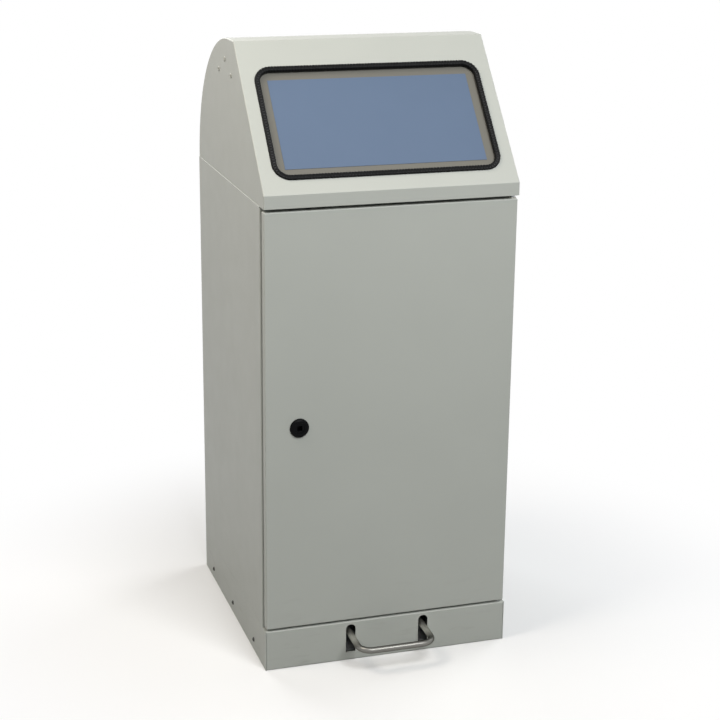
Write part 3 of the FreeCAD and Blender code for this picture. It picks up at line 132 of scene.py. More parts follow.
@dataclass(frozen=True)
class Finish:
    """What all the finishes have: a name, a colour, a roughness and how far each of them drifts.

    The sizes of the patches are in millimetres, and mirror is how strongly the surface reflects.
    """

    name: str
    colour: str
    roughness: float
    drift: float = 0.03
    drift_size: float = 140.0
    rough_drift: float = 0.05
    rough_size: float = 30.0
    mirror: float = 0.5

    def material(self) -> bpy.types.Material:
        """Make the material, with the grain that the finish adds to it.

        Returns:
            The material.
        """
        material = bpy.data.materials.new(self.name)
        material.use_nodes = True
        tree = material.node_tree
        shader = tree.nodes["Principled BSDF"]
        place = add_node(tree, "ShaderNodeTexCoord").outputs["Object"]
        shader.inputs["Specular IOR Level"].default_value = self.mirror
        tree.links.new(self.tint(tree, place), shader.inputs["Base Color"])
        tree.links.new(self.gloss(tree, place), shader.inputs["Roughness"])
        self.grain(tree, shader, place)
        return material

    def cloud(self, tree: bpy.types.NodeTree, place: bpy.types.NodeSocket, size: float, low: float = 0.0,
              high: float = 1.0, detail: float = 3.0) -> bpy.types.NodeSocket:
        """A soft cloudy pattern.

        Args:
            tree: The material's nodes.
            place: The coordinates that it lies on.
            size: How large a cloud is, in millimetres.
            low: The value between the clouds.
            high: The value in the middle of a cloud.
            detail: How many finer layers it has.

        Returns:
            The socket with the pattern.
        """
        noise = add_node(tree, "ShaderNodeTexNoise", {"Scale": 1.0 / (size * MM), "Detail": detail},
                         {"Vector": place})
        return add_node(tree, "ShaderNodeMapRange",
                        {"From Min": NOISE_LOW, "From Max": NOISE_HIGH, "To Min": low, "To Max": high},
                        {"Value": noise.outputs[0]}).outputs[0]

    def tint(self, tree: bpy.types.NodeTree, place: bpy.types.NodeSocket) -> bpy.types.NodeSocket:
        """The colour, a little lighter and darker in large soft patches.

        Args:
            tree: The material's nodes.
            place: The coordinates that it lies on.

        Returns:
            The socket with the colour.
        """
        patches = self.cloud(tree, place, self.drift_size)
        return add_node(tree, "ShaderNodeMix",
                        {"data_type": "RGBA", COLOUR_A: linear(self.colour, 1.0 - self.drift),
                         COLOUR_B: linear(self.colour, 1.0 + self.drift)}, {0: patches}).outputs[MIXED]

    def gloss(self, tree: bpy.types.NodeTree, place: bpy.types.NodeSocket) -> bpy.types.NodeSocket:
        """The roughness, a little higher and lower in soft patches.

        Args:
            tree: The material's nodes.
            place: The coordinates that it lies on.

        Returns:
            The socket with the roughness.
        """
        return self.cloud(tree, place, self.rough_size, self.roughness - self.rough_drift,
                          self.roughness + self.rough_drift)

    def relief(self, tree: bpy.types.NodeTree, shader: bpy.types.Node, height: bpy.types.NodeSocket,
               depth: float, strength: float) -> None:
        """Let a pattern stand up from the surface.

        Args:
            tree: The material's nodes.
            shader: The shader whose surface it shapes.
            height: The pattern, from 0 to 1.
            depth: How high 1 stands, in millimetres.
            strength: How much of it shows.
        """
        bump = add_node(tree, "ShaderNodeBump", {"Strength": strength, "Distance": depth * MM},
                        {"Height": height})
        tree.links.new(bump.outputs[0], shader.inputs["Normal"])

    def grain(self, tree: bpy.types.NodeTree, shader: bpy.types.Node, place: bpy.types.NodeSocket) -> None:
        """Add what is special to the finish.

        Args:
            tree: The material's nodes.
            shader: The shader to work on.
            place: The coordinates that the grain lies on.
        """
        raise NotImplementedError


@dataclass(frozen=True)
class PowderCoat(Finish):
    """Baked polyester powder on steel: even and half matt, with the skin of an orange.

    Soles scuff it low down, in level streaks, and it is lighter along sharp edges: partly thin coat, partly
    a painted highlight.
    """

    peel: float = 2.6
    peel_depth: float = 0.06
    peel_strength: float = 0.35
    scuff: str = "#77746B"
    scuff_height: float = 170.0
    scuff_size: float = 60.0
    scuff_flatness: float = 5.0
    scuff_detail: float = 6.0
    scuff_start: float = 0.58
    scuff_full: float = 0.74
    scuff_share: float = 0.2
    # How much lighter the edges are painted: partly thin coat, partly a painted highlight.
    thin: float = 1.35
    edge_mark_width: float = 1.2
    edge_mark_length: float = 35.0
    edge_mark_least: float = 0.15
    edge_mark_most: float = 0.5
    rim_start: float = 0.98
    rim_full: float = 0.8
    rim_samples: int = 4

    def edges(self, tree: bpy.types.NodeTree, place: bpy.types.NodeSocket) -> bpy.types.NodeSocket:
        """Where the powder draws back from a sharp edge and hands rub it, in broken lengths, with a painted
        highlight along the edge as well.

        Args:
            tree: The material's nodes.
            place: The coordinates that it lies on.

        Returns:
            The socket with the share of thin coat and painted highlight.
        """
        softened = add_node(tree, "ShaderNodeBevel",
                            {"samples": self.rim_samples, "Radius": self.edge_mark_width * MM}).outputs[0]
        flat = add_node(tree, "ShaderNodeNewGeometry").outputs["Normal"]
        facing = add_node(tree, "ShaderNodeVectorMath", {"operation": "DOT_PRODUCT"},
                          {0: softened, 1: flat}).outputs["Value"]
        rim = add_node(tree, "ShaderNodeMapRange", {"From Min": self.rim_start, "From Max": self.rim_full},
                       {"Value": facing}).outputs[0]
        lengths = self.cloud(tree, place, self.edge_mark_length, self.edge_mark_least, self.edge_mark_most)
        return add_node(tree, "ShaderNodeMath", {"operation": "MULTIPLY"}, {0: rim, 1: lengths}).outputs[0]

    def scuffs(self, tree: bpy.types.NodeTree, place: bpy.types.NodeSocket) -> bpy.types.NodeSocket:
        """Faint level rub marks that fade out above the foot.

        Args:
            tree: The material's nodes.
            place: The coordinates that they lie on.

        Returns:
            The socket with the share of rubbed coat.
        """
        level = add_node(tree, "ShaderNodeMapping", {"Scale": (1.0, 1.0, self.scuff_flatness)},
                         {"Vector": place}).outputs[0]
        rubs = add_node(tree, "ShaderNodeTexNoise",
                        {"Scale": 1.0 / (self.scuff_size * MM), "Detail": self.scuff_detail},
                        {"Vector": level})
        marks = add_node(tree, "ShaderNodeMapRange",
                         {"From Min": self.scuff_start, "From Max": self.scuff_full,
                          "To Max": self.scuff_share}, {"Value": rubs.outputs[0]}).outputs[0]
        height = add_node(tree, "ShaderNodeSeparateXYZ", links={0: place}).outputs["Z"]
        low = add_node(tree, "ShaderNodeMapRange",
                       {"From Min": 0.0, "From Max": self.scuff_height * MM, "To Min": 1.0, "To Max": 0.0},
                       {"Value": height}).outputs[0]
        return add_node(tree, "ShaderNodeMath", {"operation": "MULTIPLY"}, {0: marks, 1: low}).outputs[0]

    def tint(self, tree: bpy.types.NodeTree, place: bpy.types.NodeSocket) -> bpy.types.NodeSocket:
        """The coat's colour, with its scuffs and its thin edges, whose lighter colour is partly a painted
        highlight.

        Args:
            tree: The material's nodes.
            place: The coordinates that it lies on.

        Returns:
            The socket with the colour.
        """
        coat = Finish.tint(self, tree, place)
        rubbed = add_node(tree, "ShaderNodeMix", {"data_type": "RGBA", COLOUR_B: linear(self.scuff)},
                          {0: self.scuffs(tree, place), COLOUR_A: coat}).outputs[MIXED]
        # Lighter along sharp edges: partly thin coat, partly a painted highlight.
        lighter = linear(self.colour, self.thin)
        return add_node(tree, "ShaderNodeMix", {"data_type": "RGBA", COLOUR_B: lighter},
                        {0: self.edges(tree, place), COLOUR_A: rubbed}).outputs[MIXED]

    def grain(self, tree: bpy.types.NodeTree, shader: bpy.types.Node, place: bpy.types.NodeSocket) -> None:
        """The orange peel, drawn about twice as coarse as it is so that it shows.

        Args:
            tree: The material's nodes.
            shader: The shader to work on.
            place: The coordinates that the grain lies on.
        """
        skin = self.cloud(tree, place, self.peel, detail=1.0)
        self.relief(tree, shader, skin, self.peel_depth, self.peel_strength)


@dataclass(frozen=True)
class FaceSheet(Finish):
    """Blue enamelled face sheet: smoother than the coat, with a fine level rolling grain."""

    grain_size: float = 3.0
    grain_length: float = 37.5
    grain_depth: float = 0.03
    grain_strength: float = 0.25

    def grain(self, tree: bpy.types.NodeTree, shader: bpy.types.Node, place: bpy.types.NodeSocket) -> None:
        """The rolling grain, long across the sheet and fine up it.

        Args:
            tree: The material's nodes.
            shader: The shader to work on.
            place: The coordinates that the grain lies on.
        """
        squeeze = (self.grain_size / self.grain_length, 1.0, 1.0)
        across = add_node(tree, "ShaderNodeMapping", {"Scale": squeeze}, {"Vector": place}).outputs[0]
        lines = self.cloud(tree, across, self.grain_size, detail=2.0)
        self.relief(tree, shader, lines, self.grain_depth, self.grain_strength)


@dataclass(frozen=True)
class Moulded(Finish):
    """Moulded rubber or plastic: a dull skin with a fine even pebble from the mould."""

    pebble: float = 1.8
    pebble_depth: float = 0.08
    pebble_strength: float = 0.4

    def grain(self, tree: bpy.types.NodeTree, shader: bpy.types.Node, place: bpy.types.NodeSocket) -> None:
        """The pebble of the mould, drawn a few times too coarse so that it shows.

        Args:
            tree: The material's nodes.
            shader: The shader to work on.
            place: The coordinates that the grain lies on.
        """
        cells = add_node(tree, "ShaderNodeTexVoronoi", {"Scale": 1.0 / (self.pebble * MM)},
                         {"Vector": place})
        self.relief(tree, shader, cells.outputs["Distance"], self.pebble_depth, self.pebble_strength)


@dataclass(frozen=True)
class Plated(Finish):
    """Steel with a thin metal plating: a cloudy sheen and fine marks from tumbling in the bath."""

    mark: float = 1.4
    mark_depth: float = 0.03
    mark_strength: float = 0.3

    def grain(self, tree: bpy.types.NodeTree, shader: bpy.types.Node, place: bpy.types.NodeSocket) -> None:
        """The tumbling marks.

        Args:
            tree: The material's nodes.
            shader: The shader to work on.
            place: The coordinates that the grain lies on.
        """
        shader.inputs["Metallic"].default_value = 1.0
        marks = self.cloud(tree, place, self.mark, detail=4.0)
        self.relief(tree, shader, marks, self.mark_depth, self.mark_strength)


@dataclass(frozen=True)
class Drawn(Finish):
    """Cold drawn bar or wire: bright in the middle, darker at its rims, with fine lines from the die."""

    line: float = 0.9
    line_length: float = 18.0
    line_depth: float = 0.02
    line_strength: float = 0.35
    rim: str = "#8C8C86"

    def grain(self, tree: bpy.types.NodeTree, shader: bpy.types.Node, place: bpy.types.NodeSocket) -> None:
        """The die lines along the length, drawn coarser than they are so that they show.

        Args:
            tree: The material's nodes.
            shader: The shader to work on.
            place: The coordinates that the grain lies on.
        """
        shader.inputs["Metallic"].default_value = 1.0
        shader.inputs["Specular Tint"].default_value = linear(self.rim)
        squeeze = (self.line / self.line_length, 1.0, 1.0)
        along = add_node(tree, "ShaderNodeMapping", {"Scale": squeeze}, {"Vector": place}).outputs[0]
        lines = self.cloud(tree, along, self.line, detail=2.0)
        self.relief(tree, shader, lines, self.line_depth, self.line_strength)


@dataclass(frozen=True)
class TroddenShadedBar(Drawn):
    """Drawn bar of the pedal: its tread is painted darker as painted shade, and the soles that press it rub
    it smoother.
    """

    tread_y: float = -230.0
    tread_fade: float = 25.0
    polish: float = 0.08
    # How dark the painted shade on the tread is.
    tread_shade: float = 0.27

    def wear_and_shade(self, tree: bpy.types.NodeTree, place: bpy.types.NodeSocket,
             most: float) -> bpy.types.NodeSocket:
        """The tread's painted shade and wear, from nought on the arms up to its most on the tread.

        Args:
            tree: The material's nodes.
            place: The coordinates that it lies on.
            most: The value on the tread.

        Returns:
            The socket with the wear.
        """
        forward = add_node(tree, "ShaderNodeSeparateXYZ", links={0: place}).outputs["Y"]
        return add_node(tree, "ShaderNodeMapRange",
                        {"From Min": (self.tread_y + self.tread_fade) * MM, "From Max": self.tread_y * MM,
                         "To Max": most}, {"Value": forward}).outputs[0]

    def tint(self, tree: bpy.types.NodeTree, place: bpy.types.NodeSocket) -> bpy.types.NodeSocket:
        """The bar's colour, painted darker towards the tread as painted shade.

        Args:
            tree: The material's nodes.
            place: The coordinates that it lies on.

        Returns:
            The socket with the colour.
        """
        # Painted shade: the tread is darkened to stand in for the dark surroundings that it reflects.
        bar_tone, shaded_tread = Drawn.tint(self, tree, place), linear(self.colour, self.tread_shade)
        return add_node(tree, "ShaderNodeMix", {"data_type": "RGBA", COLOUR_B: shaded_tread},
                        {0: self.wear_and_shade(tree, place, 1.0), COLOUR_A: bar_tone}).outputs[MIXED]

    def gloss(self, tree: bpy.types.NodeTree, place: bpy.types.NodeSocket) -> bpy.types.NodeSocket:
        """The bar's roughness, lower towards the tread.

        Args:
            tree: The material's nodes.
            place: The coordinates that it lies on.

        Returns:
            The socket with the roughness.
        """
        return add_node(tree, "ShaderNodeMath", {"operation": "SUBTRACT"},
                        {0: Drawn.gloss(self, tree, place),
                         1: self.wear_and_shade(tree, place, self.polish)}).outputs[0]


@dataclass(frozen=True)
class Spangled(Finish):
    """Hot-dip galvanised sheet: dull zinc in large flat crystals, each of its own brightness."""

    crystal: float = 11.0
    seam: float = 0.08
    seam_depth: float = 0.05
    seam_strength: float = 0.3

    def tint(self, tree: bpy.types.NodeTree, place: bpy.types.NodeSocket) -> bpy.types.NodeSocket:
        """The crystals, some lighter and some darker.

        Args:
            tree: The material's nodes.
            place: The coordinates that it lies on.

        Returns:
            The socket with the colour.
        """
        cells = add_node(tree, "ShaderNodeTexVoronoi", {"Scale": 1.0 / (self.crystal * MM)},
                         {"Vector": place})
        shade = add_node(tree, "ShaderNodeSeparateXYZ", links={0: cells.outputs["Color"]}).outputs[0]
        return add_node(tree, "ShaderNodeMix",
                        {"data_type": "RGBA", COLOUR_A: linear(self.colour, 1.0 - self.drift),
                         COLOUR_B: linear(self.colour, 1.0 + self.drift)}, {0: shade}).outputs[MIXED]

    def grain(self, tree: bpy.types.NodeTree, shader: bpy.types.Node, place: bpy.types.NodeSocket) -> None:
        """The slight steps where the crystals meet.

        Args:
            tree: The material's nodes.
            shader: The shader to work on.
            place: The coordinates that the grain lies on.
        """
        shader.inputs["Metallic"].default_value = 1.0
        edges = add_node(tree, "ShaderNodeTexVoronoi",
                         {"feature": "DISTANCE_TO_EDGE", "Scale": 1.0 / (self.crystal * MM)},
                         {"Vector": place})
        step = add_node(tree, "ShaderNodeMapRange", {"From Max": self.seam},
                        {"Value": edges.outputs[0]}).outputs[0]
        self.relief(tree, shader, step, self.seam_depth, self.seam_strength)


FINISHES: dict[Slot, Finish] = {
    # Pebble-grey polyester powder: a calm skin that takes broad soft highlights.
    Slot.COAT: PowderCoat("powder_coat_pebble_grey", "#B5B9B3", 0.46, drift=0.015, rough_drift=0.03),
    # The same powder in a darker stone grey on the flap, duller; the darker grey is partly painted shade of
    # the recess, so the mouth looks deep.
    Slot.FLAP: PowderCoat("powder_coat_darker_grey_and_painted_shade", "#706F68", 0.56, drift=0.02, mirror=0.3),
    # Pigeon-blue enamel on thin sheet: an even colour with a quiet sheen.
    Slot.BLUE: FaceSheet("enamel_pigeon_blue", "#5E7089", 0.56, drift=0.02, mirror=0.25),
    # Extruded rubber: almost black, with soft highlights along its bead.
    Slot.RUBBER: Moulded("extruded_rubber_black", "#0E0F10", 0.3, drift=0.08, drift_size=40.0, mirror=0.12),
    # Glass-filled nylon: deep black, with a thin highlight round its rim.
    Slot.LOCK: Moulded("moulded_nylon_black", "#07080A", 0.3, drift=0.06, drift_size=25.0, mirror=0.07),
    # Painted rivet heads: the coat over a low dome.
    Slot.HEAD: PowderCoat("powder_coat_on_rivets", "#AEB1A9", 0.44, drift=0.01),
    # Zinc plating: bluish white, cloudy.
    Slot.ZINC: Plated("zinc_plated_steel", "#9DA1A4", 0.36, drift=0.12, drift_size=18.0),
    # Drawn stainless bar: bright arms with long highlights and dark rims, and a tread painted darker as
    # painted shade.
    Slot.BRIGHT: TroddenShadedBar("drawn_stainless_bar", "#D6D5CE", 0.4, drift=0.05, drift_size=40.0,
                            rim="#6E6E69"),
    # Patented spring wire: darker, with an oily sheen.
    Slot.SPRING: Drawn("patented_spring_wire", "#8B8D8F", 0.32, drift=0.06, drift_size=20.0),
    # Turned acetal: milk white, faintly waxy.
    Slot.BEARING: Moulded("acetal_natural_white", "#E3E1D8", 0.38, drift=0.02, drift_size=20.0),
    # Soft moulded caps: dull black.
    Slot.BUFFER: Moulded("moulded_polyethylene_black", "#1C1C1D", 0.48, drift=0.08, drift_size=20.0),
    # Galvanised sheet of the container: grey spangle.
    Slot.GALVANISED: Spangled("galvanised_sheet", "#A9ADAF", 0.44, drift=0.11),
}
# Blackened steel of the small screws: dull, almost black.
DARK_SCREW = Plated("blackened_steel", "#4A4A48", 0.45, drift=0.1, drift_size=10.0)


class Palette:
    """The materials, made once and shared by the pieces."""

    def __init__(self) -> None:
        """Start with none."""
        self._made: dict[str, bpy.types.Material] = {}

    def get(self, finish: Finish) -> bpy.types.Material:
        """Give the material of a finish, which is made when it is first asked for.

        Args:
            finish: The finish.

        Returns:
            Its material.
        """
        if finish.name not in self._made:
            self._made[finish.name] = finish.material()
        return self._made[finish.name]


@dataclass
class SubAssembly:
    """A group of pieces that move together: solids that are dressed, and meshes that are added."""

    palette: Palette
    body: ClassVar[Body] = Body.CABINET
    dressed: ClassVar[dict[str, Slot]] = {}

    def dress(self) -> None:
        """Give each solid of the group its finish."""
        for name, slot in self.dressed.items():
            material = self.palette.get(FINISHES[slot])
            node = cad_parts[name]
            if not node.material_slots:
                node.data.materials.append(material)
            for place in node.material_slots:
                place.material = material
            LOG.info("%s dressed in %s", name, material.name)

    def build(self) -> None:
        """Make the group's own meshes, if it has any."""

    def add(self, bm: bmesh.types.BMesh, name: str, slot: Slot, finish: Finish | None = None,
            crease: float = 40.0) -> bpy.types.Object:
        """Turn a bmesh in millimetres into a piece that rides on the group's body.

        Args:
            bm: The shape, which is used up.
            name: The piece's name.
            slot: The record's place for its finish.
            finish: Its own finish, where that isn't the slot's.
            crease: The angle in degrees from which an edge is sharp.

        Returns:
            The piece.
        """
        bmesh.ops.scale(bm, vec=(MM, MM, MM), verts=bm.verts)
        bmesh.ops.recalc_face_normals(bm, faces=bm.faces)
        mesh = bpy.data.meshes.new(name)
        bm.to_mesh(mesh)
        bm.free()
        mesh.shade_smooth()
        mesh.set_sharp_from_angle(angle=math.radians(crease))
        mesh.materials.append(self.palette.get(finish or FINISHES[slot]))
        piece = bpy.data.objects.new(name, mesh)
        bpy.context.scene.collection.objects.link(piece)
        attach(piece, self.body.value)
        LOG.info("%s made with %d faces", name, len(mesh.polygons))
        return piece


def lathe(bm: bmesh.types.BMesh, profile: list[tuple[float, float]], steps: int = 36) -> None:
    """Spin a profile round the z axis into a closed solid.

    Args:
        bm: The empty bmesh that it goes into.
        profile: Radius and height of each corner, from the axis back to the axis.
        steps: How many sides the solid has.
    """
    corners = [bm.verts.new((radius, 0.0, height)) for radius, height in profile]
    lines = [bm.edges.new(pair) for pair in zip(corners, corners[1:])]
    bmesh.ops.spin(bm, geom=corners + lines, cent=(0, 0, 0), axis=(0, 0, 1), dvec=(0, 0, 0),
                   angle=math.tau, steps=steps, use_merge=True)
    bmesh.ops.remove_doubles(bm, verts=bm.verts, dist=SAME_POINT)


def repeat(bm: bmesh.types.BMesh, places: list[Matrix]) -> None:
    """Copy a shape to each of its places and drop the first one.

    Args:
        bm: The shape, at the origin.
        places: Where the copies stand.
    """
    first = bm.verts[:] + bm.edges[:] + bm.faces[:]
    for place in places:
        copied = bmesh.ops.duplicate(bm, geom=first)["geom"]
        moved = [part for part in copied if isinstance(part, bmesh.types.BMVert)]
        bmesh.ops.transform(bm, matrix=place, verts=moved)
    spare = [part for part in first if isinstance(part, bmesh.types.BMVert)]
    bmesh.ops.delete(bm, geom=spare, context="VERTS")


def facing_out(side: int, x: float, y: float, z: float) -> Matrix:
    """Give a place on a side of the bin whose z axis points outwards.

    Args:
        side: -1 for the left side and 1 for the right.
        x: How far the side is from the middle.
        y: The place's y.
        z: The place's z.

    Returns:
        The place as a matrix.
    """
    return Matrix.Translation((side * x, y, z)) @ Matrix.Rotation(side * QUARTER, 4, "Y")


@dataclass
class Plinth(SubAssembly):
    """The plinth with its slotted front and the screws in its sides."""

    head: float = 7.6
    head_height: float = 2.2
    shank: float = 4.0
    length: float = 6.2
    socket: float = 2.9
    half_width: float = 200.0
    first_y: float = -105.5
    pitch: float = 142.5
    per_side: int = 3
    height: float = 18.5
    dressed: ClassVar[dict[str, Slot]] = {"plinth_frame": Slot.COAT, "plinth_front": Slot.COAT}

    def build(self) -> None:
        """Make the button screws, with a hexagon socket in each head."""
        radius, top, socket = self.head / 2, self.head_height, self.socket / 2
        bm = bmesh.new()
        lathe(bm, [
            # The socket, still round.
            (0.0, top * 0.3), (socket, top * 0.3), (socket, top * 0.97),
            # The button.
            (radius * 0.5, top), (radius * 0.75, top * 0.82), (radius * 0.93, top * 0.5),
            (radius, top * 0.15), (radius, 0.0),
            # The shank.
            (self.shank / 2, 0.0), (self.shank / 2, -self.length), (0.0, -self.length),
        ])
        sixth = math.tau / 6
        for vert in bm.verts:
            if abs(math.hypot(vert.co.x, vert.co.y) - socket) < SAME_POINT:
                turn = math.atan2(vert.co.y, vert.co.x) % sixth - sixth / 2
                flat = math.cos(sixth / 2) / math.cos(turn)
                vert.co.x, vert.co.y = vert.co.x * flat, vert.co.y * flat
        repeat(bm, [facing_out(side, self.half_width, self.first_y + number * self.pitch, self.height)
                    for side in (-1, 1) for number in range(self.per_side)])
        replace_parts(self.add(bm, "plinth_button_screws", Slot.ZINC, DARK_SCREW), "plinth_screws")


@dataclass
class Cabinet(SubAssembly):
    """The cabinet, with what guides the pedal and the rod in it, and the inner container."""

    dressed: ClassVar[dict[str, Slot]] = {
        "cabinet_shell": Slot.COAT, "cabinet_floor": Slot.COAT, "head_rail": Slot.COAT,
        "top_frame": Slot.COAT, "hinge_pin_lower": Slot.ZINC, "hinge_pin_upper": Slot.ZINC,
        "rod_guide_lower": Slot.ZINC, "rod_guide_upper": Slot.ZINC, "rod_guide_bushes": Slot.BEARING,
        "pedal_rail_left": Slot.ZINC, "pedal_rail_right": Slot.ZINC, "pedal_bushes": Slot.BEARING,
        "pedal_buffers": Slot.RUBBER, "door_buffers": Slot.RUBBER, "hood_screws": Slot.ZINC,
        "inner_container": Slot.GALVANISED,
    }


@dataclass
class Hood(SubAssembly):
    """The welded hood, its bearing plates and the blind rivets that hold them."""

    rivet_head: float = 8.0
    rivet_height: float = 1.2
    rivet_pit: float = 4.2
    rivet_shank: float = 4.8
    grip: float = 3.2
    side: float = 199.2
    axle_y: float = 49.5
    axle_z: float = 912.0
    spread: float = 40.0
    rise: float = 14.0
    drop: float = 6.0
    dressed: ClassVar[dict[str, Slot]] = {
        "hood_shell": Slot.COAT, "flap_bracket_left": Slot.ZINC, "flap_bracket_right": Slot.ZINC,
        "flap_bushes": Slot.BEARING, "closing_spring": Slot.SPRING,
    }

    def build(self) -> None:
        """Make the rivets: a low dome with the pit of the broken mandrel, and a closing head inside."""
        radius, top, pit = self.rivet_head / 2, self.rivet_height, self.rivet_pit / 2
        behind = -self.grip - self.rivet_height
        bm = bmesh.new()
        lathe(bm, [
            # The pit.
            (0.0, top * 0.05), (pit * 0.9, top * 0.05), (pit, top * 0.9), (pit * 1.1, top),
            # The dome.
            (radius * 0.8, top * 0.85), (radius * 0.95, top * 0.5), (radius, top * 0.2), (radius, 0.0),
            # The shank and the closing head.
            (self.rivet_shank / 2, 0.0), (self.rivet_shank / 2, -self.grip), (radius * 0.8, -self.grip),
            (radius * 0.75, behind * 0.9), (0.0, behind),
        ])
        offsets = [(-self.spread, -self.drop), (0.0, self.rise), (self.spread, -self.drop)]
        repeat(bm, [facing_out(side, self.side, self.axle_y + y, self.axle_z + z)
                    for side in (-1, 1) for y, z in offsets])
        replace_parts(self.add(bm, "blind_rivets", Slot.HEAD), "bracket_rivets")


@dataclass
class WindowTrim(SubAssembly):
    """The rubber profile round the mouth: two soft lips that grip the sheet, the outer one ribbed."""

    slope_run: float = 178.0
    slope_rise: float = 200.0
    half_width: float = 172.75
    foot: float = 30.0
    height: float = 184.0
    corner: float = 21.0
    sheet: float = 1.2
    play: float = 0.05
    lip: float = 2.5
    bite: float = 6.0
    proud: float = 3.5
    rounding: float = 2.4
    rounding_steps: int = 5
    rib_pitch: float = 4.6
    rib_depth: float = 0.5
    rib_crown: float = 0.42
    rib_flank: float = 0.14
    rib_valley: float = 0.3

    def section(self, bm: bmesh.types.BMesh) -> bmesh.types.BMFace:
        """Draw the profile's section in the middle of the lower run.

        Args:
            bm: The bmesh that it goes into.

        Returns:
            The face of the section.
        """
        front, back = self.proud, -self.sheet - self.proud
        outer, inner, bridge = self.foot - self.bite, self.foot + self.lip, self.foot + self.play
        soft = [(outer, front), (inner, front), (inner, back), (outer, back)]
        sharp = [(outer, -self.sheet - self.play), (bridge, -self.sheet - self.play),
                 (bridge, self.play), (outer, self.play)]
        corners = [bm.verts.new((0.0, up, out)) for up, out in soft + sharp]
        bm.faces.new(corners)
        bmesh.ops.bevel(bm, geom=corners[:len(soft)], offset=self.rounding, offset_type="OFFSET",
                        segments=self.rounding_steps, profile=0.5, affect="VERTICES", material=-1)
        bm.faces.ensure_lookup_table()
        return bm.faces[0]

    def path(self) -> list[tuple[float, Vector, Vector | None]]:
        """The way round the mouth, from the middle of the lower run back to it.

        Returns:
            For each stretch its length, the move along it where it is straight, and the point about
            which it turns where it is a quarter of a circle.
        """
        side = self.half_width - self.corner
        low, high = self.foot + self.corner, self.foot + self.height - self.corner
        quarter = (self.corner - (self.lip - self.bite) / 2) * QUARTER
        still = Vector((0, 0, 0))
        return [
            (side, Vector((side, 0, 0)), None),
            (quarter, still, Vector((side, low, 0))),
            (high - low, Vector((0, high - low, 0)), None),
            (quarter, still, Vector((side, high, 0))),
            (2 * side, Vector((-2 * side, 0, 0)), None),
            (quarter, still, Vector((-side, high, 0))),
            (high - low, Vector((0, low - high, 0)), None),
            (quarter, still, Vector((-side, low, 0))),
            (side, Vector((side, 0, 0)), None),
        ]

    def sweep(self, bm: bmesh.types.BMesh, end: bmesh.types.BMFace) -> None:
        """Draw the section round the mouth rib by rib, then close the loop.

        Args:
            bm: The bmesh that holds the section.
            end: The face of the section.
        """
        middle = Vector((0.0, self.foot + (self.lip - self.bite) / 2, 0.0))
        narrow = 1.0 - self.rib_depth / ((self.lip + self.bite) / 2)
        strides = [(self.rib_crown, 1.0), (self.rib_flank, narrow),
                   (self.rib_valley, narrow), (self.rib_flank, 1.0)]
        width = 1.0
        for length, shift, centre in self.path():
            ribs = max(1, round(length / self.rib_pitch))
            for share, wanted in strides * ribs:
                part = share / ribs
                step = Matrix.Translation(shift * part)
                if centre is not None:
                    pivot = Matrix.Translation(centre)
                    step = pivot @ Matrix.Rotation(part * QUARTER, 4, "Z") @ pivot.inverted()
                new = bmesh.ops.extrude_face_region(bm, geom=[end])["geom"]
                ring = [item for item in new if isinstance(item, bmesh.types.BMVert)]
                end = next(item for item in new if isinstance(item, bmesh.types.BMFace))
                bmesh.ops.transform(bm, matrix=step, verts=ring)
                middle = step @ middle
                ratio = wanted / width
                if ratio != 1.0:
                    # Only the bead in front of the sheet is ribbed.
                    bead = [vert for vert in ring if vert.co.z > 2 * self.play]
                    bmesh.ops.scale(bm, vec=(ratio, ratio, ratio), space=Matrix.Translation(-middle),
                                    verts=bead)
                width = wanted
        # The two ends, which meet, are the only faces with more than four corners.
        caps = [face for face in bm.faces if len(face.verts) > 4]
        bmesh.ops.delete(bm, geom=caps, context="FACES_ONLY")
        bmesh.ops.remove_doubles(bm, verts=bm.verts, dist=SAME_POINT)

    def build(self) -> None:
        """Make the profile and lay it on the hood's sloping face."""
        low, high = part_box("hood_shell")
        bm = bmesh.new()
        self.sweep(bm, self.section(bm))
        place = Matrix.Translation((0.0, low[1] / MM, high[2] / MM - self.slope_rise))
        tilt = Matrix.Rotation(math.atan2(self.slope_rise, self.slope_run), 4, "X")
        bmesh.ops.transform(bm, matrix=place @ tilt, verts=bm.verts)
        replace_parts(self.add(bm, "ribbed_window_trim", Slot.RUBBER), "window_trim")


@dataclass
class Door(SubAssembly):
    """The door with its stiffener, its hinge bushes and the fixed part of the lock."""

    body: ClassVar[Body] = Body.DOOR
    dressed: ClassVar[dict[str, Slot]] = {
        "door_panel": Slot.COAT, "door_stiffener": Slot.COAT, "hinge_bushes": Slot.BEARING,
        "lock_housing": Slot.LOCK, "lock_nut": Slot.ZINC,
    }


@dataclass
class Lock(SubAssembly):
    """What the key turns: the spindle and the tongue that hooks behind the jamb."""

    body: ClassVar[Body] = Body.LOCK
    dressed: ClassVar[dict[str, Slot]] = {
        "lock_spindle": Slot.LOCK, "lock_tongue": Slot.ZINC, "tongue_screw": Slot.ZINC,
    }


@dataclass
class Flap(SubAssembly):
    """The flap behind the mouth, with its blue face, its axle and its lever."""

    body: ClassVar[Body] = Body.FLAP
    dressed: ClassVar[dict[str, Slot]] = {
        "flap_panel": Slot.FLAP, "colour_panel": Slot.BLUE, "flap_axle": Slot.ZINC, "flap_lever": Slot.ZINC,
    }


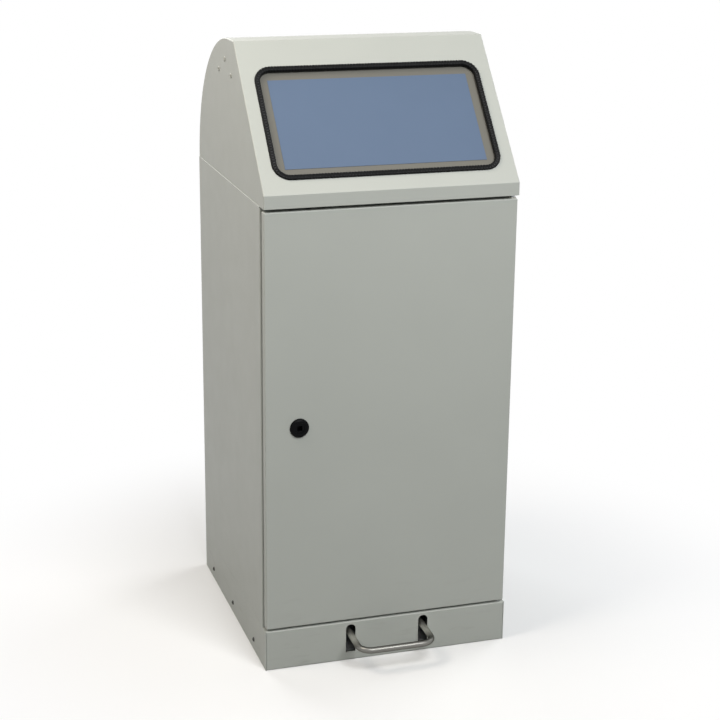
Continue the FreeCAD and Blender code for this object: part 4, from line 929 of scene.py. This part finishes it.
@dataclass
class Pedal(SubAssembly):
    """The pedal: a bent bar on a cross shaft, with the bead of weld that joins them."""

    shaft_y: float = -61.5
    shaft_z: float = 50.0
    shaft: float = 12.0
    bar: float = 10.0
    arm_spacing: float = 121.0
    bead: float = 1.5
    bead_sides: int = 10
    bead_stand: float = 0.3
    bead_sink: float = 0.2
    ripples: int = 24
    ripple_steps: int = 4
    ripple_swell: float = 0.12
    body: ClassVar[Body] = Body.PEDAL
    dressed: ClassVar[dict[str, Slot]] = {
        "pedal_bar": Slot.BRIGHT, "pedal_shaft": Slot.ZINC, "pedal_lever": Slot.ZINC,
    }

    def build(self) -> None:
        """Make the weld round each arm where it meets the shaft, with its ripples."""
        ring = self.bar / 2 + self.bead * self.bead_stand
        lying = Matrix.Rotation(QUARTER, 4, "X")
        bm = bmesh.new()
        bmesh.ops.create_circle(bm, segments=self.bead_sides, radius=self.bead, matrix=lying)
        bmesh.ops.translate(bm, vec=(ring, 0, 0), verts=bm.verts)
        bmesh.ops.spin(bm, geom=bm.verts[:] + bm.edges[:], cent=(0, 0, 0), axis=(0, 0, 1), dvec=(0, 0, 0),
                       angle=math.tau, steps=self.ripples * self.ripple_steps, use_merge=True)
        bmesh.ops.remove_doubles(bm, verts=bm.verts, dist=SAME_POINT)
        for vert in bm.verts:
            turn = math.atan2(vert.co.y, vert.co.x)
            middle = Vector((math.cos(turn), math.sin(turn), 0)) * ring
            swell = 1.0 + self.ripple_swell * math.cos(turn * self.ripples)
            vert.co = middle + (vert.co - middle) * swell
        seat = self.shaft_y - self.shaft / 2 - self.bead * self.bead_sink
        repeat(bm, [Matrix.Translation((side * self.arm_spacing / 2, seat, self.shaft_z)) @ lying
                    for side in (-1, 1)])
        self.add(bm, "pedal_welds", Slot.BRIGHT)


@dataclass
class PushRod(SubAssembly):
    """The rod that lifts the flap's lever, with a cap on each end."""

    body: ClassVar[Body] = Body.ROD
    dressed: ClassVar[dict[str, Slot]] = {"push_rod": Slot.ZINC, "rod_caps": Slot.BUFFER}


@dataclass(frozen=True)
class Lamp:
    """A square soft box: where it hangs and how wide it is in metres, its watts and its colour."""

    name: str
    place: tuple[float, float, float]
    width: float
    power: float
    colour: str = "#FFFFFF"


LAMPS = (
    Lamp("key_above_front", (0.3, -2.0, 2.3), 1.4, 50.0),
    Lamp("fill_left", (-1.1, -0.25, 2.0), 0.9, 16.5, "#FFF4E6"),
    Lamp("fill_right", (2.0, 0.9, 1.6), 1.4, 20.0),
    Lamp("fill_rear", (-0.6, 2.4, 1.7), 1.6, 26.0),
)


@dataclass
class Studio:
    """A pale floor, soft lamps and a camera where the photographer stood; lengths are in metres."""

    yaw: float = 17.63
    pitch: float = 17.46
    roll: float = -0.59
    eye: tuple[float, float, float] = (-0.808, -2.567, 1.287)
    focal_pixels: float = 1737.0
    frame_pixels: float = 720.0
    sensor: float = 36.0
    floor_seen: str = "#F6F7F8"
    floor_dim: str = "#8E8E8B"
    floor_half: float = 24.0
    near: float = 0.32
    far: float = 0.85
    ambient: float = 0.2
    lamps_aim: tuple[float, float, float] = (0.0, 0.0, 0.6)

    def camera(self) -> None:
        """Set up the camera."""
        data = bpy.data.cameras.new("camera")
        data.sensor_width = self.sensor
        data.lens = self.sensor * self.focal_pixels / self.frame_pixels
        turn = (Matrix.Rotation(-math.radians(self.yaw), 4, "Z")
                @ Matrix.Rotation(QUARTER - math.radians(self.pitch), 4, "X")
                @ Matrix.Rotation(-math.radians(self.roll), 4, "Z"))
        camera = bpy.data.objects.new("camera", data)
        camera.matrix_world = Matrix.Translation(self.eye) @ turn
        bpy.context.scene.collection.objects.link(camera)
        bpy.context.scene.camera = camera

    def hang(self, lamp: Lamp) -> None:
        """Hang a lamp that points at the middle of the bin.

        Args:
            lamp: What it is and where it hangs.
        """
        data = bpy.data.lights.new(lamp.name, "AREA")
        data.shape = "RECTANGLE"
        data.size = data.size_y = lamp.width
        data.energy = lamp.power
        data.color = linear(lamp.colour)[:3]
        hung = bpy.data.objects.new(lamp.name, data)
        hung.location = lamp.place
        towards = Vector(self.lamps_aim) - Vector(lamp.place)
        hung.rotation_euler = towards.to_track_quat("-Z", "Y").to_euler()
        bpy.context.scene.collection.objects.link(hung)

    def seen(self, tree: bpy.types.NodeTree) -> bpy.types.NodeSocket:
        """One where the camera, a mirror or a glass looks, and nought where light is gathered.

        Args:
            tree: The nodes of the floor or the world.

        Returns:
            The socket with that value.
        """
        rays = add_node(tree, "ShaderNodeLightPath").outputs
        mirror = add_node(tree, "ShaderNodeMath", {"operation": "MAXIMUM"},
                          {0: rays["Is Camera Ray"], 1: rays["Is Glossy Ray"]}).outputs[0]
        return add_node(tree, "ShaderNodeMath", {"operation": "MAXIMUM"},
                        {0: mirror, 1: rays["Is Transmission Ray"]}).outputs[0]

    def world(self) -> None:
        """White where it is seen, and a softer even light on the bin."""
        world = bpy.data.worlds.new("studio")
        world.use_nodes = True
        tree = world.node_tree
        tree.nodes.clear()
        soft = add_node(tree, "ShaderNodeBackground", {"Color": WHITE, "Strength": self.ambient}).outputs[0]
        white = add_node(tree, "ShaderNodeBackground", {"Color": WHITE, "Strength": 1.0}).outputs[0]
        mixed = add_node(tree, "ShaderNodeMixShader", links={0: self.seen(tree), 1: soft, 2: white})
        add_node(tree, "ShaderNodeOutputWorld", links={"Surface": mixed.outputs[0]})
        bpy.context.scene.world = world

    def paving(self) -> bpy.types.Material:
        """A matt pale floor that keeps the shadow near the bin and turns white further out.

        Returns:
            Its material.
        """
        material = bpy.data.materials.new("matt_pale_floor")
        material.use_nodes = True
        tree = material.node_tree
        tree.nodes.clear()
        place = add_node(tree, "ShaderNodeTexCoord").outputs["Object"]
        away = add_node(tree, "ShaderNodeVectorMath", {"operation": "LENGTH"}, {0: place}).outputs["Value"]
        fade = add_node(tree, "ShaderNodeMapRange",
                        {"interpolation_type": "SMOOTHSTEP", "From Min": self.near, "From Max": self.far},
                        {"Value": away}).outputs[0]
        share = add_node(tree, "ShaderNodeMath", {"operation": "MULTIPLY"},
                         {0: fade, 1: self.seen(tree)}).outputs[0]
        tone = add_node(tree, "ShaderNodeMix",
                        {"data_type": "RGBA", COLOUR_A: linear(self.floor_dim),
                         COLOUR_B: linear(self.floor_seen)}, {0: self.seen(tree)}).outputs[MIXED]
        matt = add_node(tree, "ShaderNodeBsdfDiffuse", links={"Color": tone}).outputs[0]
        white = add_node(tree, "ShaderNodeEmission", {"Color": WHITE, "Strength": 1.0}).outputs[0]
        mixed = add_node(tree, "ShaderNodeMixShader", links={0: share, 1: matt, 2: white})
        add_node(tree, "ShaderNodeOutputMaterial", links={"Surface": mixed.outputs[0]})
        return material

    def floor(self) -> None:
        """Lay the floor."""
        bm = bmesh.new()
        bmesh.ops.create_grid(bm, x_segments=2, y_segments=2, size=self.floor_half)
        mesh = bpy.data.meshes.new("floor")
        bm.to_mesh(mesh)
        bm.free()
        mesh.materials.append(self.paving())
        plane = bpy.data.objects.new("floor", mesh)
        bpy.context.scene.collection.objects.link(plane)

    def build(self) -> None:
        """Set up the whole studio."""
        bpy.context.scene.view_settings.view_transform = "Standard"
        self.camera()
        self.world()
        self.floor()
        for lamp in LAMPS:
            self.hang(lamp)


def main() -> None:
    """Build the bin's sub-assemblies in order, then the studio round them."""
    logging.basicConfig(level=logging.INFO, format="%(message)s")
    palette = Palette()
    for kind in (Plinth, Cabinet, Hood, WindowTrim, Door, Lock, Flap, Pedal, PushRod):
        group = kind(palette)
        group.dress()
        group.build()
    Studio().build()


if __name__ == "__main__":
    main()
